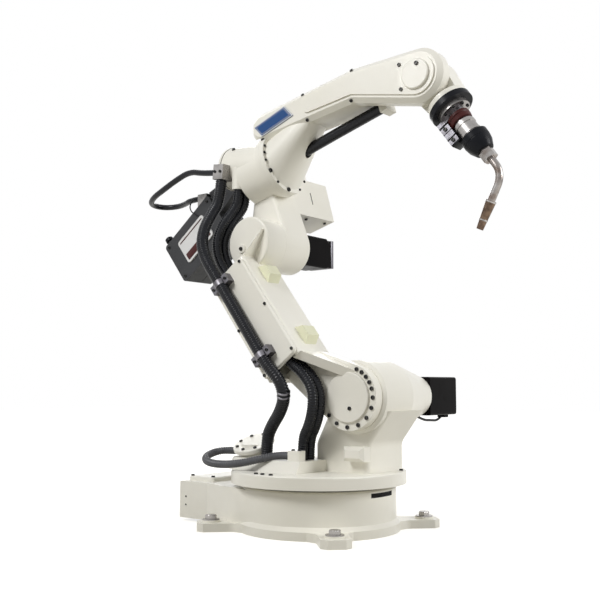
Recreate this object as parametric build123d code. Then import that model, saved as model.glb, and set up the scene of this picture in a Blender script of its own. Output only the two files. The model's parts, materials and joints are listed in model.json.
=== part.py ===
"""Six-axis arc-welding robot arm, floor mounted, in millimetres.

The frame: +X is the way the arm reaches, +Y is the robot's left, +Z is up.
The origin lies on the floor, on the turning axis of the base.
"""
import os
from math import cos, hypot, pi, radians, sin, tan

from build123d import *

# Fits
SEAT = 0.3                    # running gap between faces that turn on each other
OVERRUN = 5.0                 # how far a cutter passes the face that it cuts

# Base
BOLT_SPACING = 465.0          # square of the four floor bolts
BOLT_HOLE_R = 11.0
FOOT_T = 25.0
FOOT_W = 86.0
FOOT_ROOT_W = 190.0           # width of a foot where it leaves the drum
FOOT_FLARE = 30.0
FOOT_NOSE = 42.0              # foot beyond the bolt's centre
FOOT_CUT = 18.0               # corner cut off the nose
FOOT_BOSS_R = 28.0
FOOT_BOSS_H = 6.0
PLINTH = 12.0                 # sloped step round the foot of the drum
DRUM_R = 236.0
DRUM_H = 134.0
DRUM_EDGE = 8.0
BOX_BACK = 459.0              # back of the connector box, from the axis
BOX_FRONT = 330.0
BOX_W = 300.0
BOX_H = 126.0
BOX_LIFT = 10.0
BOX_EDGE = 10.0
LID_L = 112.0                 # raised lid on the connector box
LID_W = 236.0
LID_H = 14.0
LID_FROM_BACK = 12.0
PORT_R = 24.0                 # round cable sockets on the back of the box
PORT_L = 16.0
PORT_SPACING = 86.0
PORT_COUNT = 3
BEARING_R = 222.0
BEARING_H = 7.0

# Turntable and shoulder
TABLE_R = 268.0
TABLE_H = 38.0
TABLE_EDGE = 5.0
J2_X = 180.0                  # shoulder axis
J2_Z = 400.0
COLUMN_BACK = 160.0           # column behind and before the shoulder axis
COLUMN_FRONT = 34.0
COLUMN_NEAR = -44.0
COLUMN_FAR = 150.0
COLUMN_WAIST = 138.0          # straight part ends here, below the shoulder axis
COLUMN_SHOULDER = 40.0        # flare ends here, below the shoulder axis
COLUMN_BEND = 40.0
COLUMN_EDGE = 16.0
SHOULDER_R = 108.0
SHOULDER_NEAR = -62.0         # face that carries the upper arm
SHOULDER_STRAIGHT = 150.0     # full-width length of the shoulder housing
SHOULDER_FAR = 266.0
SHOULDER_TAIL_R = 66.0
SHOULDER_EDGE = 8.0
J2_MOTOR_W = 122.0
J2_MOTOR_L = 166.0
MOTOR_EDGE = 8.0
J2_CAP_W = 84.0
J2_CAP_L = 34.0
PLUG_W = 26.0                 # motor connector, hanging under the end cap
PLUG_DROP = 30.0
TRAY_FRONT = 62.0             # cable tray behind the shoulder
TRAY_NEAR = -190.0
TRAY_FAR = 62.0
TRAY_MID = -70.0
TRAY_ROUND_R = 84.0
TRAY_H = 34.0
TRAY_SLOPE = 20.0             # how far its sides lean in
DISH_X = -185.0               # round cover over the cable inlet
DISH_Y = -92.0
DISH_R = 66.0
DISH_T = 14.0
DISH_TILT = 24.0
DISH_STEM_R = 40.0
DISH_LIFT = 38.0
GRIP_X = 31.0                 # block that clamps the cable to the tray
GRIP_L = 44.0
GRIP_W = 36.0
GRIP_INSET = 24.0             # from the near foot of the tray
GRIP_H = 30.0
PAD_X = 5.0                   # plain cover block on the near side of the column
PAD_L = 72.0
PAD_T = 40.0
PAD_H = 42.0
PAD_DROP = 164.0
PAD_SLOPE = 10.0

# Upper arm, along the line from shoulder to elbow
ARM_L = 610.0
ARM_LEAN = 37.3               # leans back from upright
ARM_NEAR = -178.0
ARM_FAR = -30.0
HUB_R = 97.0
HUB_NEAR = -94.0
HUB_CAP_R = 74.0
HUB_CAP_T = 8.0
LINK_START = 176.0            # where the box section begins, along the arm
LINK_GAP = 54.0               # from the end of the box section to the elbow axis
LINK_FRONT = 8.0              # behind the shoulder-elbow line
LINK_BACK = 162.0
LINK_EDGE = 12.0
CHANNEL_WALL = 20.0
CHANNEL_FLOOR = 40.0
HEAD_R = 84.0
HEAD_NEAR = -118.0
HEAD_EDGE = 6.0
WALL_T = 44.0                 # front wall that joins the box section to hub and head
WALL_INSET = 10.0
COVER_T = 12.0
COVER_MARGIN = 4.0
COVER_CORNER = 14.0
STOP_L = 64.0
STOP_W = 52.0
STOP_H = 26.0
STOP_SLOPE = 14.0
STOP_LOW = 236.0              # places of the stop blocks, from the shoulder and from the elbow
STOP_HIGH_GAP = 130.0
CLAMP_L = 30.0
CLAMP_W = 74.0
CLAMP_H = 26.0
CLAMP_LOW = 236.0             # places of the hose clamps, from the shoulder and from the elbow
CLAMP_HIGH_GAP = 91.0
CLAMP_BACK = 110.0

# Elbow: places from the elbow axis, or along and above the forearm axis
FOREARM_PITCH = 16.0          # forearm axis above level
ELBOW_OFFSET = 246.0          # forearm axis above the elbow axis
ELBOW_R = 94.0
ELBOW_BACK = -10.0
FLANGE_F = 104.0              # face that the forearm turns on
FLANGE_R = 104.0
FLANGE_T = 16.0
NECK_NEAR = -24.0
NECK_FAR = 92.0
NECK_TOP = -60.0
NECK_EDGE = 10.0
ELBOW_HUB_R = 84.0
BARREL_X = -150.0             # rear end of the motor barrel
BARREL_Y = -20.0
BARREL_Z = 278.0
BARREL_R = 72.0
BARREL_L = 150.0
BARREL_PITCH = -6.0
END_PLATE_T = 12.0
END_PLATE_EDGE = 3.0
J3_MOTOR_W = 104.0
J3_MOTOR_L = 138.0
J3_CAP_W = 96.0
J3_CAP_L = 40.0
SIDE_BACK = -62.0
SIDE_FRONT = 50.0
SIDE_LOW = -128.0
SIDE_HIGH = 12.0
SIDE_FAR = 330.0
SIDE_EDGE = 14.0
FEEDER_X = -340.0             # middle of the wire feeder
FEEDER_Z = 60.0
FEEDER_L = 268.0
FEEDER_H = 170.0
FEEDER_NEAR = -14.0
FEEDER_FAR = 112.0
FEEDER_TILT = 38.0
FEEDER_EDGE = 12.0
PANEL_L = 150.0
PANEL_H = 96.0
PANEL_T = 5.0
PANEL_CORNER = 10.0
INLET_L = 43.0                # block on the feeder that the looped hose enters
INLET_W = 28.0
INLET_H = 24.0
BRACKET_W = 62.0
GLAND_L = 44.0                # block on the barrel that holds the hose ends
GLAND_TOP = -2.0
GLAND_LOW = -52.0
GLAND_NEAR = -126.0
GLAND_HOSE_Y = -104.0
SOCKET_X = -86.0              # mouth of the conduit socket under the barrel
SOCKET_Y = -56.0
SOCKET_Z = 190.0
SOCKET_WALL = 5.0

# Forearm: along and above its own axis
BEAM_NEAR = -78.0
BEAM_FAR = 40.0
BEAM_REAR_F = 120.0           # round rear end of the beam
BEAM_REAR_G = 117.0
BEAM_REAR_R = 46.0
BEAM_KNEE_GAP = 212.0         # from the beam's knee to the wrist axis
BEAM_KNEE_G = 80.0
BEAM_KNEE_R = 52.0
BEAM_CHAMFER = 14.0
BEAM_COVER_F = 318.0          # rear end of the plate on the beam's side
BEAM_COVER_G = 97.0
BEAM_COVER_R = 24.0
BEAM_COVER_INSET = 22.0
BEAM_COVER_T = 5.0
TURN_ROOM = 8.0               # free ring round the elbow flange
NAME_PANEL = [(94, 126), (230, 137), (254, 92), (118, 83)]
NAME_PANEL_T = 3.0
ROOT_T = 20.0
ROOT_R = 92.0
ROOT_END = 312.0
ROOT_END_G = 86.0
ROOT_END_H = 60.0
ROOT_END_CORNER = 18.0
WRIST_F = 696.5               # wrist axis along the forearm
CHEEK_R = 80.0
CHEEK_FAR = -30.0
WRIST_COVER_R = 44.0
WRIST_COVER_T = 8.0
CABLE_R = 17.0
CABLE_ROOM = 4.0
LUG_BACK = 150.0              # lug that holds the torch cable, back from the wrist axis
LUG_L = 26.0
LUG_W = 52.0
LUG_LOW = -16.0

# Wrist and tool
TOOL_PITCH = 54.0             # tool axis below level
WRIST_R = 64.0
WRIST_FAR = 54.0
WRIST_NECK = 54.0
WRIST_EDGE = 8.0
COLLAR_START = 86.0
COLLAR_R = 60.0
RING_START = 104.0
RING_T = 18.0
RING_R = 66.0
FLANGE_DISC_R = 48.0
FLANGE_DISC_T = 14.0
MOUNT_L = 40.0
MOUNT_W = 46.0
MOUNT_T = 12.0
MOUNT_BACK = 60.0             # leg of the torch bracket, behind the tool axis
MOUNT_LEG_L = 78.0
BODY_R = 30.0
BODY_L = 56.0
CONE_R = 40.0
CONE_TIP_R = 24.0
CONE_L = 58.0
NUT_R = 22.0
NUT_L = 30.0
NUT_SIDES = 6
GOOSE_R = 11.0                # bent tube of the torch
GOOSE_RUN = 55.0
GOOSE_DROP = 80.0
GOOSE_TURN = 62.0
GOOSE_BEND = 60.0
NOZZLE_R = 15.0
NOZZLE_TIP_R = 10.0
NOZZLE_L = 84.0

# Hoses: radii, and the bends of each route between its two ends
HOSE_R = 19.0
LOOP_HOSE_R = 10.0
CONDUIT_R = 16.0
DISH_HOSE_R = 12.0
CONDUIT_GAP = 2.0
BEND_SHARE = 0.45             # share of the shorter run that a bend may take
HOSE_Y = -211.0
HOSE_RUN = 42.0               # straight run of a hose where it leaves its seat
FOOT_RUN = 62.0
HOSE_FOOT = [-104.0, -124.0]
HOSE_LOWER = [(-248, -140, -84), (-200, -162, -46), (-162, -186, 0), (-166, -205, 50)]
HOSE_UPPER = [(-98, -207, -58), (-130, -197, -6), (-142, -176, 50), (-140, -142, 104)]
GLAND_RUN = 74.0
CONDUIT_FOOT = [20.0, -88.0]
CONDUIT_LOWER = [(-122, -108, -88), (-86, -133, -36), (-82, -139, 24), (-120, -139, 72), (-173, -139, 107)]
CONDUIT_LOWER_END = 250.0
CONDUIT_LOWER_BACK = 78.0
CONDUIT_UPPER = [(-2, -127, -173), (-54, -131, -110), (-96, -134, -58), (-116, -130, 4), (-110, -108, 66),
                 (-92, -74, 116)]
CONDUIT_UPPER_GAP = 215.0
CONDUIT_UPPER_BACK = 104.0
CONDUIT_Y = -139.0
LOOP_Y = -108.0
LOOP_RUN = 60.0
HOSE_LOOP = [(-280, -106, 274), (-350, -102, 256), (-420, -97, 232), (-490, -84, 213), (-543, -46, 202),
             (-538, 10, 199), (-490, 36, 200), (-430, 22, 202), (-385, 0, 204.5)]
HOSE_LOOP_END = [-334.0, 0.0, 204.5]
DISH_LOOP = [(-284, -92, 15), (-318, -122, 12), (-312, -180, -2), (-262, -222, -14), (-192, -228, -17),
             (-126, -216, -10), (-72, -186, 4), (-32, -154, 15)]
DISH_LOOP_LIFT = 15.0
TORCH_CABLE = [(0, 1), (1, 2), (5, 5), (9, 7)]   # across and up, at even steps

# Places that follow from the sizes above
TABLE_Z = DRUM_H + BEARING_H + SEAT
TABLE_TOP = TABLE_Z + TABLE_H
TRAY_TOP = TABLE_TOP + TRAY_H
LINK_END = ARM_L - LINK_GAP
CLAMP_HIGH = ARM_L - CLAMP_HIGH_GAP
STOP_HIGH = ARM_L - STOP_HIGH_GAP
BEAM_KNEE_F = WRIST_F - BEAM_KNEE_GAP
LEAN = radians(ARM_LEAN)
J3_X = J2_X - ARM_L * sin(LEAN)
J3_Z = J2_Z + ARM_L * cos(LEAN)
PITCH = radians(FOREARM_PITCH)
ROOT_X = J3_X - ELBOW_OFFSET * sin(PITCH)
ROOT_Z = J3_Z + ELBOW_OFFSET * cos(PITCH)
J5_X = ROOT_X + WRIST_F * cos(PITCH)
J5_Z = ROOT_Z + WRIST_F * sin(PITCH)
FLANGE_START = RING_START + RING_T + SEAT
TOOL_START = FLANGE_START + FLANGE_DISC_T
BODY_START = TOOL_START + MOUNT_L
CONE_START = BODY_START + BODY_L
NUT_START = CONE_START + CONE_L
GOOSE_START = NUT_START + NUT_L


def side_plane(x, y, z, slope):
    """Upright plane facing -Y, its own x axis rising by slope degrees from +X."""
    turn = radians(slope)
    return Plane(origin=(x, y, z), x_dir=(cos(turn), 0, sin(turn)), z_dir=(0, -1, 0))


def arm_plane(y):
    """Plane along the upper arm at y: x runs to the elbow, y points backwards."""
    return side_plane(J2_X, y, J2_Z, 90 + ARM_LEAN)


def forearm_plane(y):
    """Plane along the forearm at y: x runs to the wrist, y points up."""
    return side_plane(ROOT_X, y, ROOT_Z, FOREARM_PITCH)


def barrel_side(y):
    """Plane along the elbow's motor barrel at y: x runs forward from its rear end, y points up."""
    return side_plane(J3_X + BARREL_X, y, J3_Z + BARREL_Z, BARREL_PITCH)


def feeder_plane(y):
    """Plane through the middle of the wire feeder at y, along its tilted box."""
    return side_plane(J3_X + FEEDER_X, y, J3_Z + FEEDER_Z, FEEDER_TILT)


def axis_plane(along):
    """Plane square to the forearm axis, at a distance along it: x is +Y and y is up."""
    origin = (ROOT_X + along * cos(PITCH), 0, ROOT_Z + along * sin(PITCH))
    return Plane(origin=origin, x_dir=(0, 1, 0), z_dir=(cos(PITCH), 0, sin(PITCH)))


def barrel_plane(along):
    """Plane square to the motor barrel, at a distance from its rear end."""
    side = barrel_side(BARREL_Y)
    return Plane(origin=side.origin + side.x_dir * along, x_dir=(0, 1, 0), z_dir=side.x_dir)


def tool_plane(along):
    """Plane square to the tool axis, at a distance from the wrist axis: x is +Y and y is forward."""
    turn = radians(TOOL_PITCH)
    origin = (J5_X + along * cos(turn), 0, J5_Z - along * sin(turn))
    return Plane(origin=origin, x_dir=(0, 1, 0), z_dir=(cos(turn), 0, -sin(turn)))


def spot(plane, along, up):
    """Point of a plane in the shared frame."""
    return plane.from_local_coords(Vector(along, up, 0))


def disc(plane, radius, length):
    """Round bar from a plane, along its normal."""
    return extrude(plane * Circle(radius), amount=length)


def lateral(x, z, radius, near, far):
    """Round bar along Y, from near to far."""
    return disc(Plane(origin=(x, near, z), x_dir=(1, 0, 0), z_dir=(0, 1, 0)), radius, far - near)


def block(x0, x1, y0, y1, z0, z1):
    """Square block between two corners."""
    middle = ((x0 + x1) / 2, (y0 + y1) / 2, (z0 + z1) / 2)
    return Pos(*middle) * Box(x1 - x0, y1 - y0, z1 - z0)


def rectangle(x0, x1, y0, y1):
    """Flat rectangle between two corners."""
    return Pos((x0 + x1) / 2, (y0 + y1) / 2) * Rectangle(x1 - x0, y1 - y0)


def polygon(points):
    return make_face(Polyline(*points, close=True))


def hull(*shapes):
    """Outline drawn tight round several flat shapes."""
    return make_hull([edge for shape in shapes for edge in shape.edges()])


def standing(radius, height, z):
    """Upright round bar on the turning axis of the base."""
    return Pos(0, 0, z) * Cylinder(radius, height, align=(Align.CENTER, Align.CENTER, Align.MIN))


def upright_edges(solid):
    return solid.edges().filter_by(Axis.Z)


def near_edges(solid):
    """Edges round the face that lies farthest towards -Y."""
    return solid.faces().sort_by(Axis.Y)[0].edges()


def far_edges(solid):
    """Edges round the face that lies farthest towards +Y."""
    return solid.faces().sort_by(Axis.Y)[-1].edges()


def tube(route, radius):
    """Round hose along a route, each bend as large as its two runs allow."""
    points = [Vector(*point) for point in route]
    bends = []
    for before, here, after in zip(points, points[1:], points[2:]):
        turn = radians((here - before).get_angle(after - here))
        shorter = min((here - before).length, (after - here).length)
        bends.append(BEND_SHARE * shorter / tan(turn / 2))
    path = FilletPolyline(*points, radius=bends)
    start = Plane(origin=points[0], z_dir=points[1] - points[0])
    hose = sweep(start * Circle(radius), path=path)
    print(f"hose length {path.length:.0f} volume share {hose.volume / (path.length * pi * radius ** 2):.3f}",
          "radii", " ".join(f"{bend:.0f}" for bend in bends))
    return hose


def tube_pair(route, radius):
    """Two hoses side by side along Y."""
    spread = radius + CONDUIT_GAP / 2
    return Compound(children=[tube([point + Vector(0, side * spread, 0) for point in route], radius)
                              for side in (-1, 1)])


def from_j2(offsets):
    return [Vector(J2_X + x, y, J2_Z + z) for x, y, z in offsets]


def from_j3(offsets):
    return [Vector(J3_X + x, y, J3_Z + z) for x, y, z in offsets]


def foot_turns():
    """The four diagonals that the feet point along."""
    return [Rot(0, 0, 45 + 90 * quarter) for quarter in range(4)]


def foot():
    """One flared foot along +X, with a raised seat round its bolt."""
    reach = hypot(BOLT_SPACING, BOLT_SPACING) / 2
    nose = reach + FOOT_NOSE
    knee = DRUM_R + FOOT_FLARE
    half = FOOT_W / 2
    side = [(0, FOOT_ROOT_W / 2), (DRUM_R - FOOT_FLARE, FOOT_ROOT_W / 2), (knee, half),
            (nose - FOOT_CUT, half), (nose, half - FOOT_CUT)]
    outline = polygon(side + [(x, -y) for x, y in reversed(side)])
    outline = fillet(outline.vertices().filter_by_position(Axis.X, knee - SEAT, knee + SEAT), FOOT_FLARE)
    seat = Pos(reach, 0, FOOT_T) * Cylinder(FOOT_BOSS_R, FOOT_BOSS_H * 2)
    return extrude(outline, amount=FOOT_T) + seat


def base_casting():
    drum = standing(DRUM_R, DRUM_H, 0)
    casting = fillet(drum.edges().sort_by(Axis.Z)[-1], DRUM_EDGE)
    back = Line((-BOX_FRONT, -BOX_W / 2), (-BOX_FRONT, BOX_W / 2))
    casting += Pos(0, 0, BOX_LIFT) * extrude(hull(Circle(DRUM_R), back), amount=BOX_H - BOX_LIFT)
    slope = Cone(DRUM_R + PLINTH, DRUM_R, PLINTH, align=(Align.CENTER, Align.CENTER, Align.MIN))
    casting += standing(DRUM_R + PLINTH, FOOT_T, 0) + Pos(0, 0, FOOT_T) * slope
    reach = hypot(BOLT_SPACING, BOLT_SPACING) / 2
    hole = Pos(reach, 0, FOOT_T) * Cylinder(BOLT_HOLE_R, 4 * FOOT_T)
    for turn in foot_turns():
        casting = casting + turn * foot() - turn * hole
    return casting


def connector_box():
    body = block(-BOX_BACK, -BOX_FRONT, -BOX_W / 2, BOX_W / 2, BOX_LIFT, BOX_H)
    return fillet(body.edges().group_by(Axis.X)[0], BOX_EDGE)


def connector_lid():
    x0 = -BOX_BACK + LID_FROM_BACK
    lid = block(x0, x0 + LID_L, -LID_W / 2, LID_W / 2, BOX_H, BOX_H + LID_H)
    lid = fillet(upright_edges(lid), BOX_EDGE)
    return chamfer(lid.faces().sort_by(Axis.Z)[-1].edges(), LID_H / 4)


def cable_sockets():
    sockets = []
    for i in range(PORT_COUNT):
        y = (i - (PORT_COUNT - 1) / 2) * PORT_SPACING
        plane = Plane(origin=(-BOX_BACK, y, BOX_H / 2), x_dir=(0, 1, 0), z_dir=(-1, 0, 0))
        sockets.append(disc(plane, PORT_R, PORT_L))
    return Compound(children=sockets)


def bearing_ring():
    return standing(BEARING_R, BEARING_H, DRUM_H)


def turntable():
    table = standing(TABLE_R, TABLE_H, TABLE_Z)
    return fillet(table.edges().sort_by(Axis.Z)[-1], TABLE_EDGE)


def shoulder_column():
    waist = J2_Z - COLUMN_WAIST
    top = J2_Z - COLUMN_SHOULDER
    outline = polygon([
        (J2_X - COLUMN_BACK, TABLE_TOP), (J2_X + COLUMN_FRONT, TABLE_TOP), (J2_X + COLUMN_FRONT, waist),
        (J2_X + SHOULDER_R, top), (J2_X - SHOULDER_R, top), (J2_X - COLUMN_BACK, waist)])
    bends = outline.vertices().filter_by_position(Axis.Y, waist - SEAT, waist + SEAT)
    outline = fillet(bends, COLUMN_BEND)
    column = extrude(side_plane(0, COLUMN_FAR, 0, 0) * outline, amount=COLUMN_FAR - COLUMN_NEAR)
    rims = [edge for edge in near_edges(column) + far_edges(column) if edge.center().Z > TABLE_TOP + SEAT]
    column = fillet([edge for edge in rims if edge.center().Z < top - SEAT], COLUMN_EDGE)
    return column - lateral(J2_X, J2_Z, SHOULDER_R + SEAT, SHOULDER_NEAR, SHOULDER_FAR)


def shoulder_housing():
    profile = polygon([
        (0, SHOULDER_NEAR), (SHOULDER_R - SHOULDER_EDGE, SHOULDER_NEAR),
        (SHOULDER_R, SHOULDER_NEAR + SHOULDER_EDGE), (SHOULDER_R, SHOULDER_NEAR + SHOULDER_STRAIGHT),
        (SHOULDER_TAIL_R, SHOULDER_FAR), (0, SHOULDER_FAR)])
    return Pos(J2_X, 0, J2_Z) * revolve(profile, Axis.Y)


def motor_block(x, z, width, near, length):
    """Square motor body along Y with rounded long edges."""
    half = width / 2
    body = block(x - half, x + half, near, near + length, z - half, z + half)
    return fillet(body.edges().filter_by(Axis.Y), MOTOR_EDGE)


def j2_motor():
    return motor_block(J2_X, J2_Z, J2_MOTOR_W, SHOULDER_FAR, J2_MOTOR_L)


def j2_motor_cap():
    near = SHOULDER_FAR + J2_MOTOR_L
    low = J2_Z - J2_CAP_W / 2
    plug = block(J2_X - PLUG_W / 2, J2_X + PLUG_W / 2,
                 near + MOTOR_EDGE / 2, near + J2_CAP_L - MOTOR_EDGE / 2, low - PLUG_DROP, low + MOTOR_EDGE)
    return motor_block(J2_X, J2_Z, J2_CAP_W, near, J2_CAP_L) + plug


def cable_tray():
    round_end = Pos(DISH_X, DISH_Y) * Circle(TRAY_ROUND_R)
    low = hull(round_end, rectangle(TRAY_MID, TRAY_FRONT, TRAY_NEAR, TRAY_FAR))
    round_top = Pos(DISH_X, DISH_Y) * Circle(TRAY_ROUND_R - TRAY_SLOPE)
    high = hull(round_top, rectangle(TRAY_MID, TRAY_FRONT, TRAY_NEAR + TRAY_SLOPE, TRAY_FAR - TRAY_SLOPE))
    tray = loft([Pos(0, 0, TABLE_TOP) * low, Pos(0, 0, TRAY_TOP) * high], ruled=True)
    room = block(J2_X - COLUMN_BACK, TRAY_FRONT + OVERRUN, COLUMN_NEAR, TRAY_FAR + OVERRUN, 0, J2_Z)
    return tray - room


def cable_dish():
    stem = Pos(DISH_X, DISH_Y, TRAY_TOP) * Cylinder(
        DISH_STEM_R, DISH_LIFT, align=(Align.CENTER, Align.CENTER, Align.MIN))
    lid = fillet(Cylinder(DISH_R, DISH_T).edges(), DISH_T / 4)
    return stem + Pos(DISH_X, DISH_Y, TRAY_TOP + DISH_LIFT) * Rot(DISH_TILT, 0, 0) * lid


def cable_grip():
    near = TRAY_NEAR + GRIP_INSET
    grip = block(GRIP_X - GRIP_L / 2, GRIP_X + GRIP_L / 2, near, near + GRIP_W, TRAY_TOP, TRAY_TOP + GRIP_H)
    return fillet(upright_edges(grip), GRIP_W / 6)


def column_pad():
    x = J2_X + PAD_X
    z = J2_Z - PAD_DROP
    pad = block(x - PAD_L / 2, x + PAD_L / 2, COLUMN_NEAR - PAD_T, COLUMN_NEAR, z - PAD_H / 2, z + PAD_H / 2)
    return chamfer(near_edges(pad), PAD_SLOPE)


def front_wall(far, outline, taper):
    """Wall along the arm's front, from a far side towards -Y, narrowed to a taper seen from the front."""
    arm = arm_plane(0)
    front = Plane(origin=arm.origin, x_dir=arm.x_dir, z_dir=arm.y_dir)
    wedge = extrude(front * polygon(taper), amount=LINK_BACK, both=True)
    return extrude(arm_plane(far) * polygon(outline), amount=far - ARM_NEAR) & wedge


def arm_link():
    """Box section of the arm, open along its near side."""
    arm = arm_plane(ARM_FAR)
    link = extrude(arm * rectangle(LINK_START, LINK_END, LINK_FRONT, LINK_BACK), amount=ARM_FAR - ARM_NEAR)
    link = fillet(link.edges().filter_by(Axis((0, 0, 0), arm.x_dir)), LINK_EDGE)
    channel = rectangle(LINK_START - OVERRUN, LINK_END + OVERRUN,
                        LINK_FRONT + CHANNEL_WALL, LINK_BACK - CHANNEL_WALL)
    return link - extrude(arm_plane(ARM_FAR - CHANNEL_FLOOR) * channel, amount=ARM_FAR - ARM_NEAR)


def foot_wall():
    far = SHOULDER_NEAR - SEAT
    high = LINK_START + CHANNEL_WALL
    outline = [(WALL_INSET, WALL_T - HUB_R), (WALL_INSET, WALL_INSET - HUB_R), (LINK_START, LINK_FRONT),
               (high, LINK_FRONT + LINK_EDGE), (high, LINK_FRONT + WALL_T)]
    taper = [(0, far), (high, far), (high, ARM_NEAR + LINK_EDGE), (LINK_START, ARM_NEAR + LINK_EDGE / 2),
             (WALL_T, HUB_NEAR), (0, HUB_NEAR)]
    return front_wall(far, outline, taper)


def head_wall():
    low = LINK_END - CHANNEL_WALL
    outline = [(low, LINK_FRONT + LINK_EDGE), (LINK_END, LINK_FRONT),
               (ARM_L - WALL_INSET, WALL_INSET - HEAD_R), (ARM_L - WALL_INSET, WALL_T - HEAD_R),
               (low, LINK_FRONT + WALL_T)]
    taper = [(low, ARM_FAR), (ARM_L, ARM_FAR), (ARM_L, HEAD_NEAR), (LINK_END, ARM_NEAR + LINK_EDGE / 2),
             (low, ARM_NEAR + LINK_EDGE)]
    return front_wall(ARM_FAR, outline, taper)


def upper_arm_casting():
    far = SHOULDER_NEAR - SEAT
    hub = lateral(J2_X, J2_Z, HUB_R, HUB_NEAR, far)
    cap = fillet(near_edges(lateral(J2_X, J2_Z, HUB_CAP_R, HUB_NEAR - HUB_CAP_T, HUB_NEAR)), HUB_CAP_T / 2)
    low_end = rectangle(LINK_START, LINK_START + CHANNEL_WALL, LINK_FRONT + LINK_EDGE, LINK_BACK - LINK_EDGE)
    web = extrude(arm_plane(far) * hull(Circle(HUB_R), low_end), amount=far - HUB_NEAR)
    web = fillet(near_edges(web), HEAD_EDGE)
    head = fillet(near_edges(lateral(J3_X, J3_Z, HEAD_R, HEAD_NEAR, ARM_FAR)), HEAD_EDGE)
    head_round = Pos(ARM_L, 0) * Circle(HEAD_R)
    high_end = rectangle(LINK_END - CHANNEL_WALL, LINK_END, LINK_FRONT + LINK_EDGE, LINK_BACK - LINK_EDGE)
    head_web = extrude(arm_plane(ARM_FAR) * hull(head_round, high_end), amount=CHANNEL_FLOOR)
    return hub + web + cap + arm_link() + head + head_web + foot_wall() + head_wall()


def arm_cover():
    outline = rectangle(LINK_START + COVER_MARGIN, LINK_END - COVER_MARGIN,
                        LINK_FRONT + COVER_MARGIN, LINK_BACK - COVER_MARGIN)
    outline = fillet(outline.vertices(), COVER_CORNER)
    cover = extrude(arm_plane(ARM_NEAR) * outline, amount=COVER_T)
    return chamfer(near_edges(cover), COVER_T / 3)


def arm_stops():
    middle = (ARM_NEAR + ARM_FAR) / 2
    blocks = []
    for along in (STOP_LOW, STOP_HIGH):
        outline = polygon([
            (along - STOP_L / 2, LINK_FRONT), (along + STOP_L / 2, LINK_FRONT),
            (along + STOP_L / 2 - STOP_SLOPE, LINK_FRONT - STOP_H),
            (along - STOP_L / 2 + STOP_SLOPE, LINK_FRONT - STOP_H)])
        blocks.append(extrude(arm_plane(middle + STOP_W / 2) * outline, amount=STOP_W))
    return Compound(children=blocks)


def clamp_spot(along):
    """Middle of the hose where a clamp holds it to the upper arm."""
    return spot(arm_plane(HOSE_Y), along, CLAMP_BACK)


def hose_clamps():
    held = disc(Plane(origin=clamp_spot(0), z_dir=arm_plane(0).x_dir), HOSE_R, ARM_L)
    clamps = []
    for along in (CLAMP_LOW, CLAMP_HIGH):
        outline = rectangle(along - CLAMP_L / 2, along + CLAMP_L / 2,
                            CLAMP_BACK - CLAMP_W / 2, CLAMP_BACK + CLAMP_W / 2)
        clamps.append(extrude(arm_plane(ARM_NEAR - COVER_T) * outline, amount=CLAMP_H) - held)
    return Compound(children=clamps)


def hose_lower():
    start = Vector(*HOSE_FOOT, TRAY_TOP)
    rise = start + Vector(0, 0, FOOT_RUN)
    low_end = [clamp_spot(CLAMP_LOW - HOSE_RUN), clamp_spot(CLAMP_LOW)]
    return tube([start, rise, *from_j2(HOSE_LOWER), *low_end], HOSE_R)


def hose_mid():
    start = Plane(origin=clamp_spot(CLAMP_LOW), z_dir=arm_plane(0).x_dir)
    return disc(start, HOSE_R, CLAMP_HIGH - CLAMP_LOW)


def hose_upper():
    end = barrel_side(GLAND_HOSE_Y)
    approach = spot(end, GLAND_L / 2, GLAND_LOW - GLAND_RUN)
    return tube([clamp_spot(CLAMP_HIGH), clamp_spot(CLAMP_HIGH + HOSE_RUN), *from_j3(HOSE_UPPER), approach,
                 spot(end, GLAND_L / 2, GLAND_LOW)], HOSE_R)


def conduit_lower():
    start = Vector(*CONDUIT_FOOT, TRAY_TOP)
    rise = start + Vector(0, 0, FOOT_RUN)
    end = spot(arm_plane(CONDUIT_Y), CONDUIT_LOWER_END, CONDUIT_LOWER_BACK)
    return tube_pair([start, rise, *from_j2(CONDUIT_LOWER), end], CONDUIT_R)


def conduit_upper():
    start = spot(arm_plane(CONDUIT_Y), ARM_L - CONDUIT_UPPER_GAP, CONDUIT_UPPER_BACK)
    end = Vector(J3_X + SOCKET_X, SOCKET_Y, J3_Z + SOCKET_Z)
    return tube_pair([start, *from_j3(CONDUIT_UPPER), end - Vector(0, 0, HOSE_RUN), end], CONDUIT_R)


def hose_loop():
    side = barrel_side(LOOP_Y)
    middle = (GLAND_TOP + GLAND_LOW) / 2
    return tube([spot(side, 0, middle), spot(side, -LOOP_RUN, middle), *from_j3(HOSE_LOOP),
                 *from_j3([HOSE_LOOP_END])], LOOP_HOSE_R)


def dish_loop():
    start = Vector(DISH_X - DISH_STEM_R, DISH_Y, TRAY_TOP + DISH_LOOP_LIFT)
    end = Vector(GRIP_X - GRIP_L / 2, DISH_LOOP[-1][1], TRAY_TOP + DISH_LOOP_LIFT)
    bends = [Vector(x, y, TRAY_TOP + z) for x, y, z in DISH_LOOP]
    return tube([start, *bends, end], DISH_HOSE_R)


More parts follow.
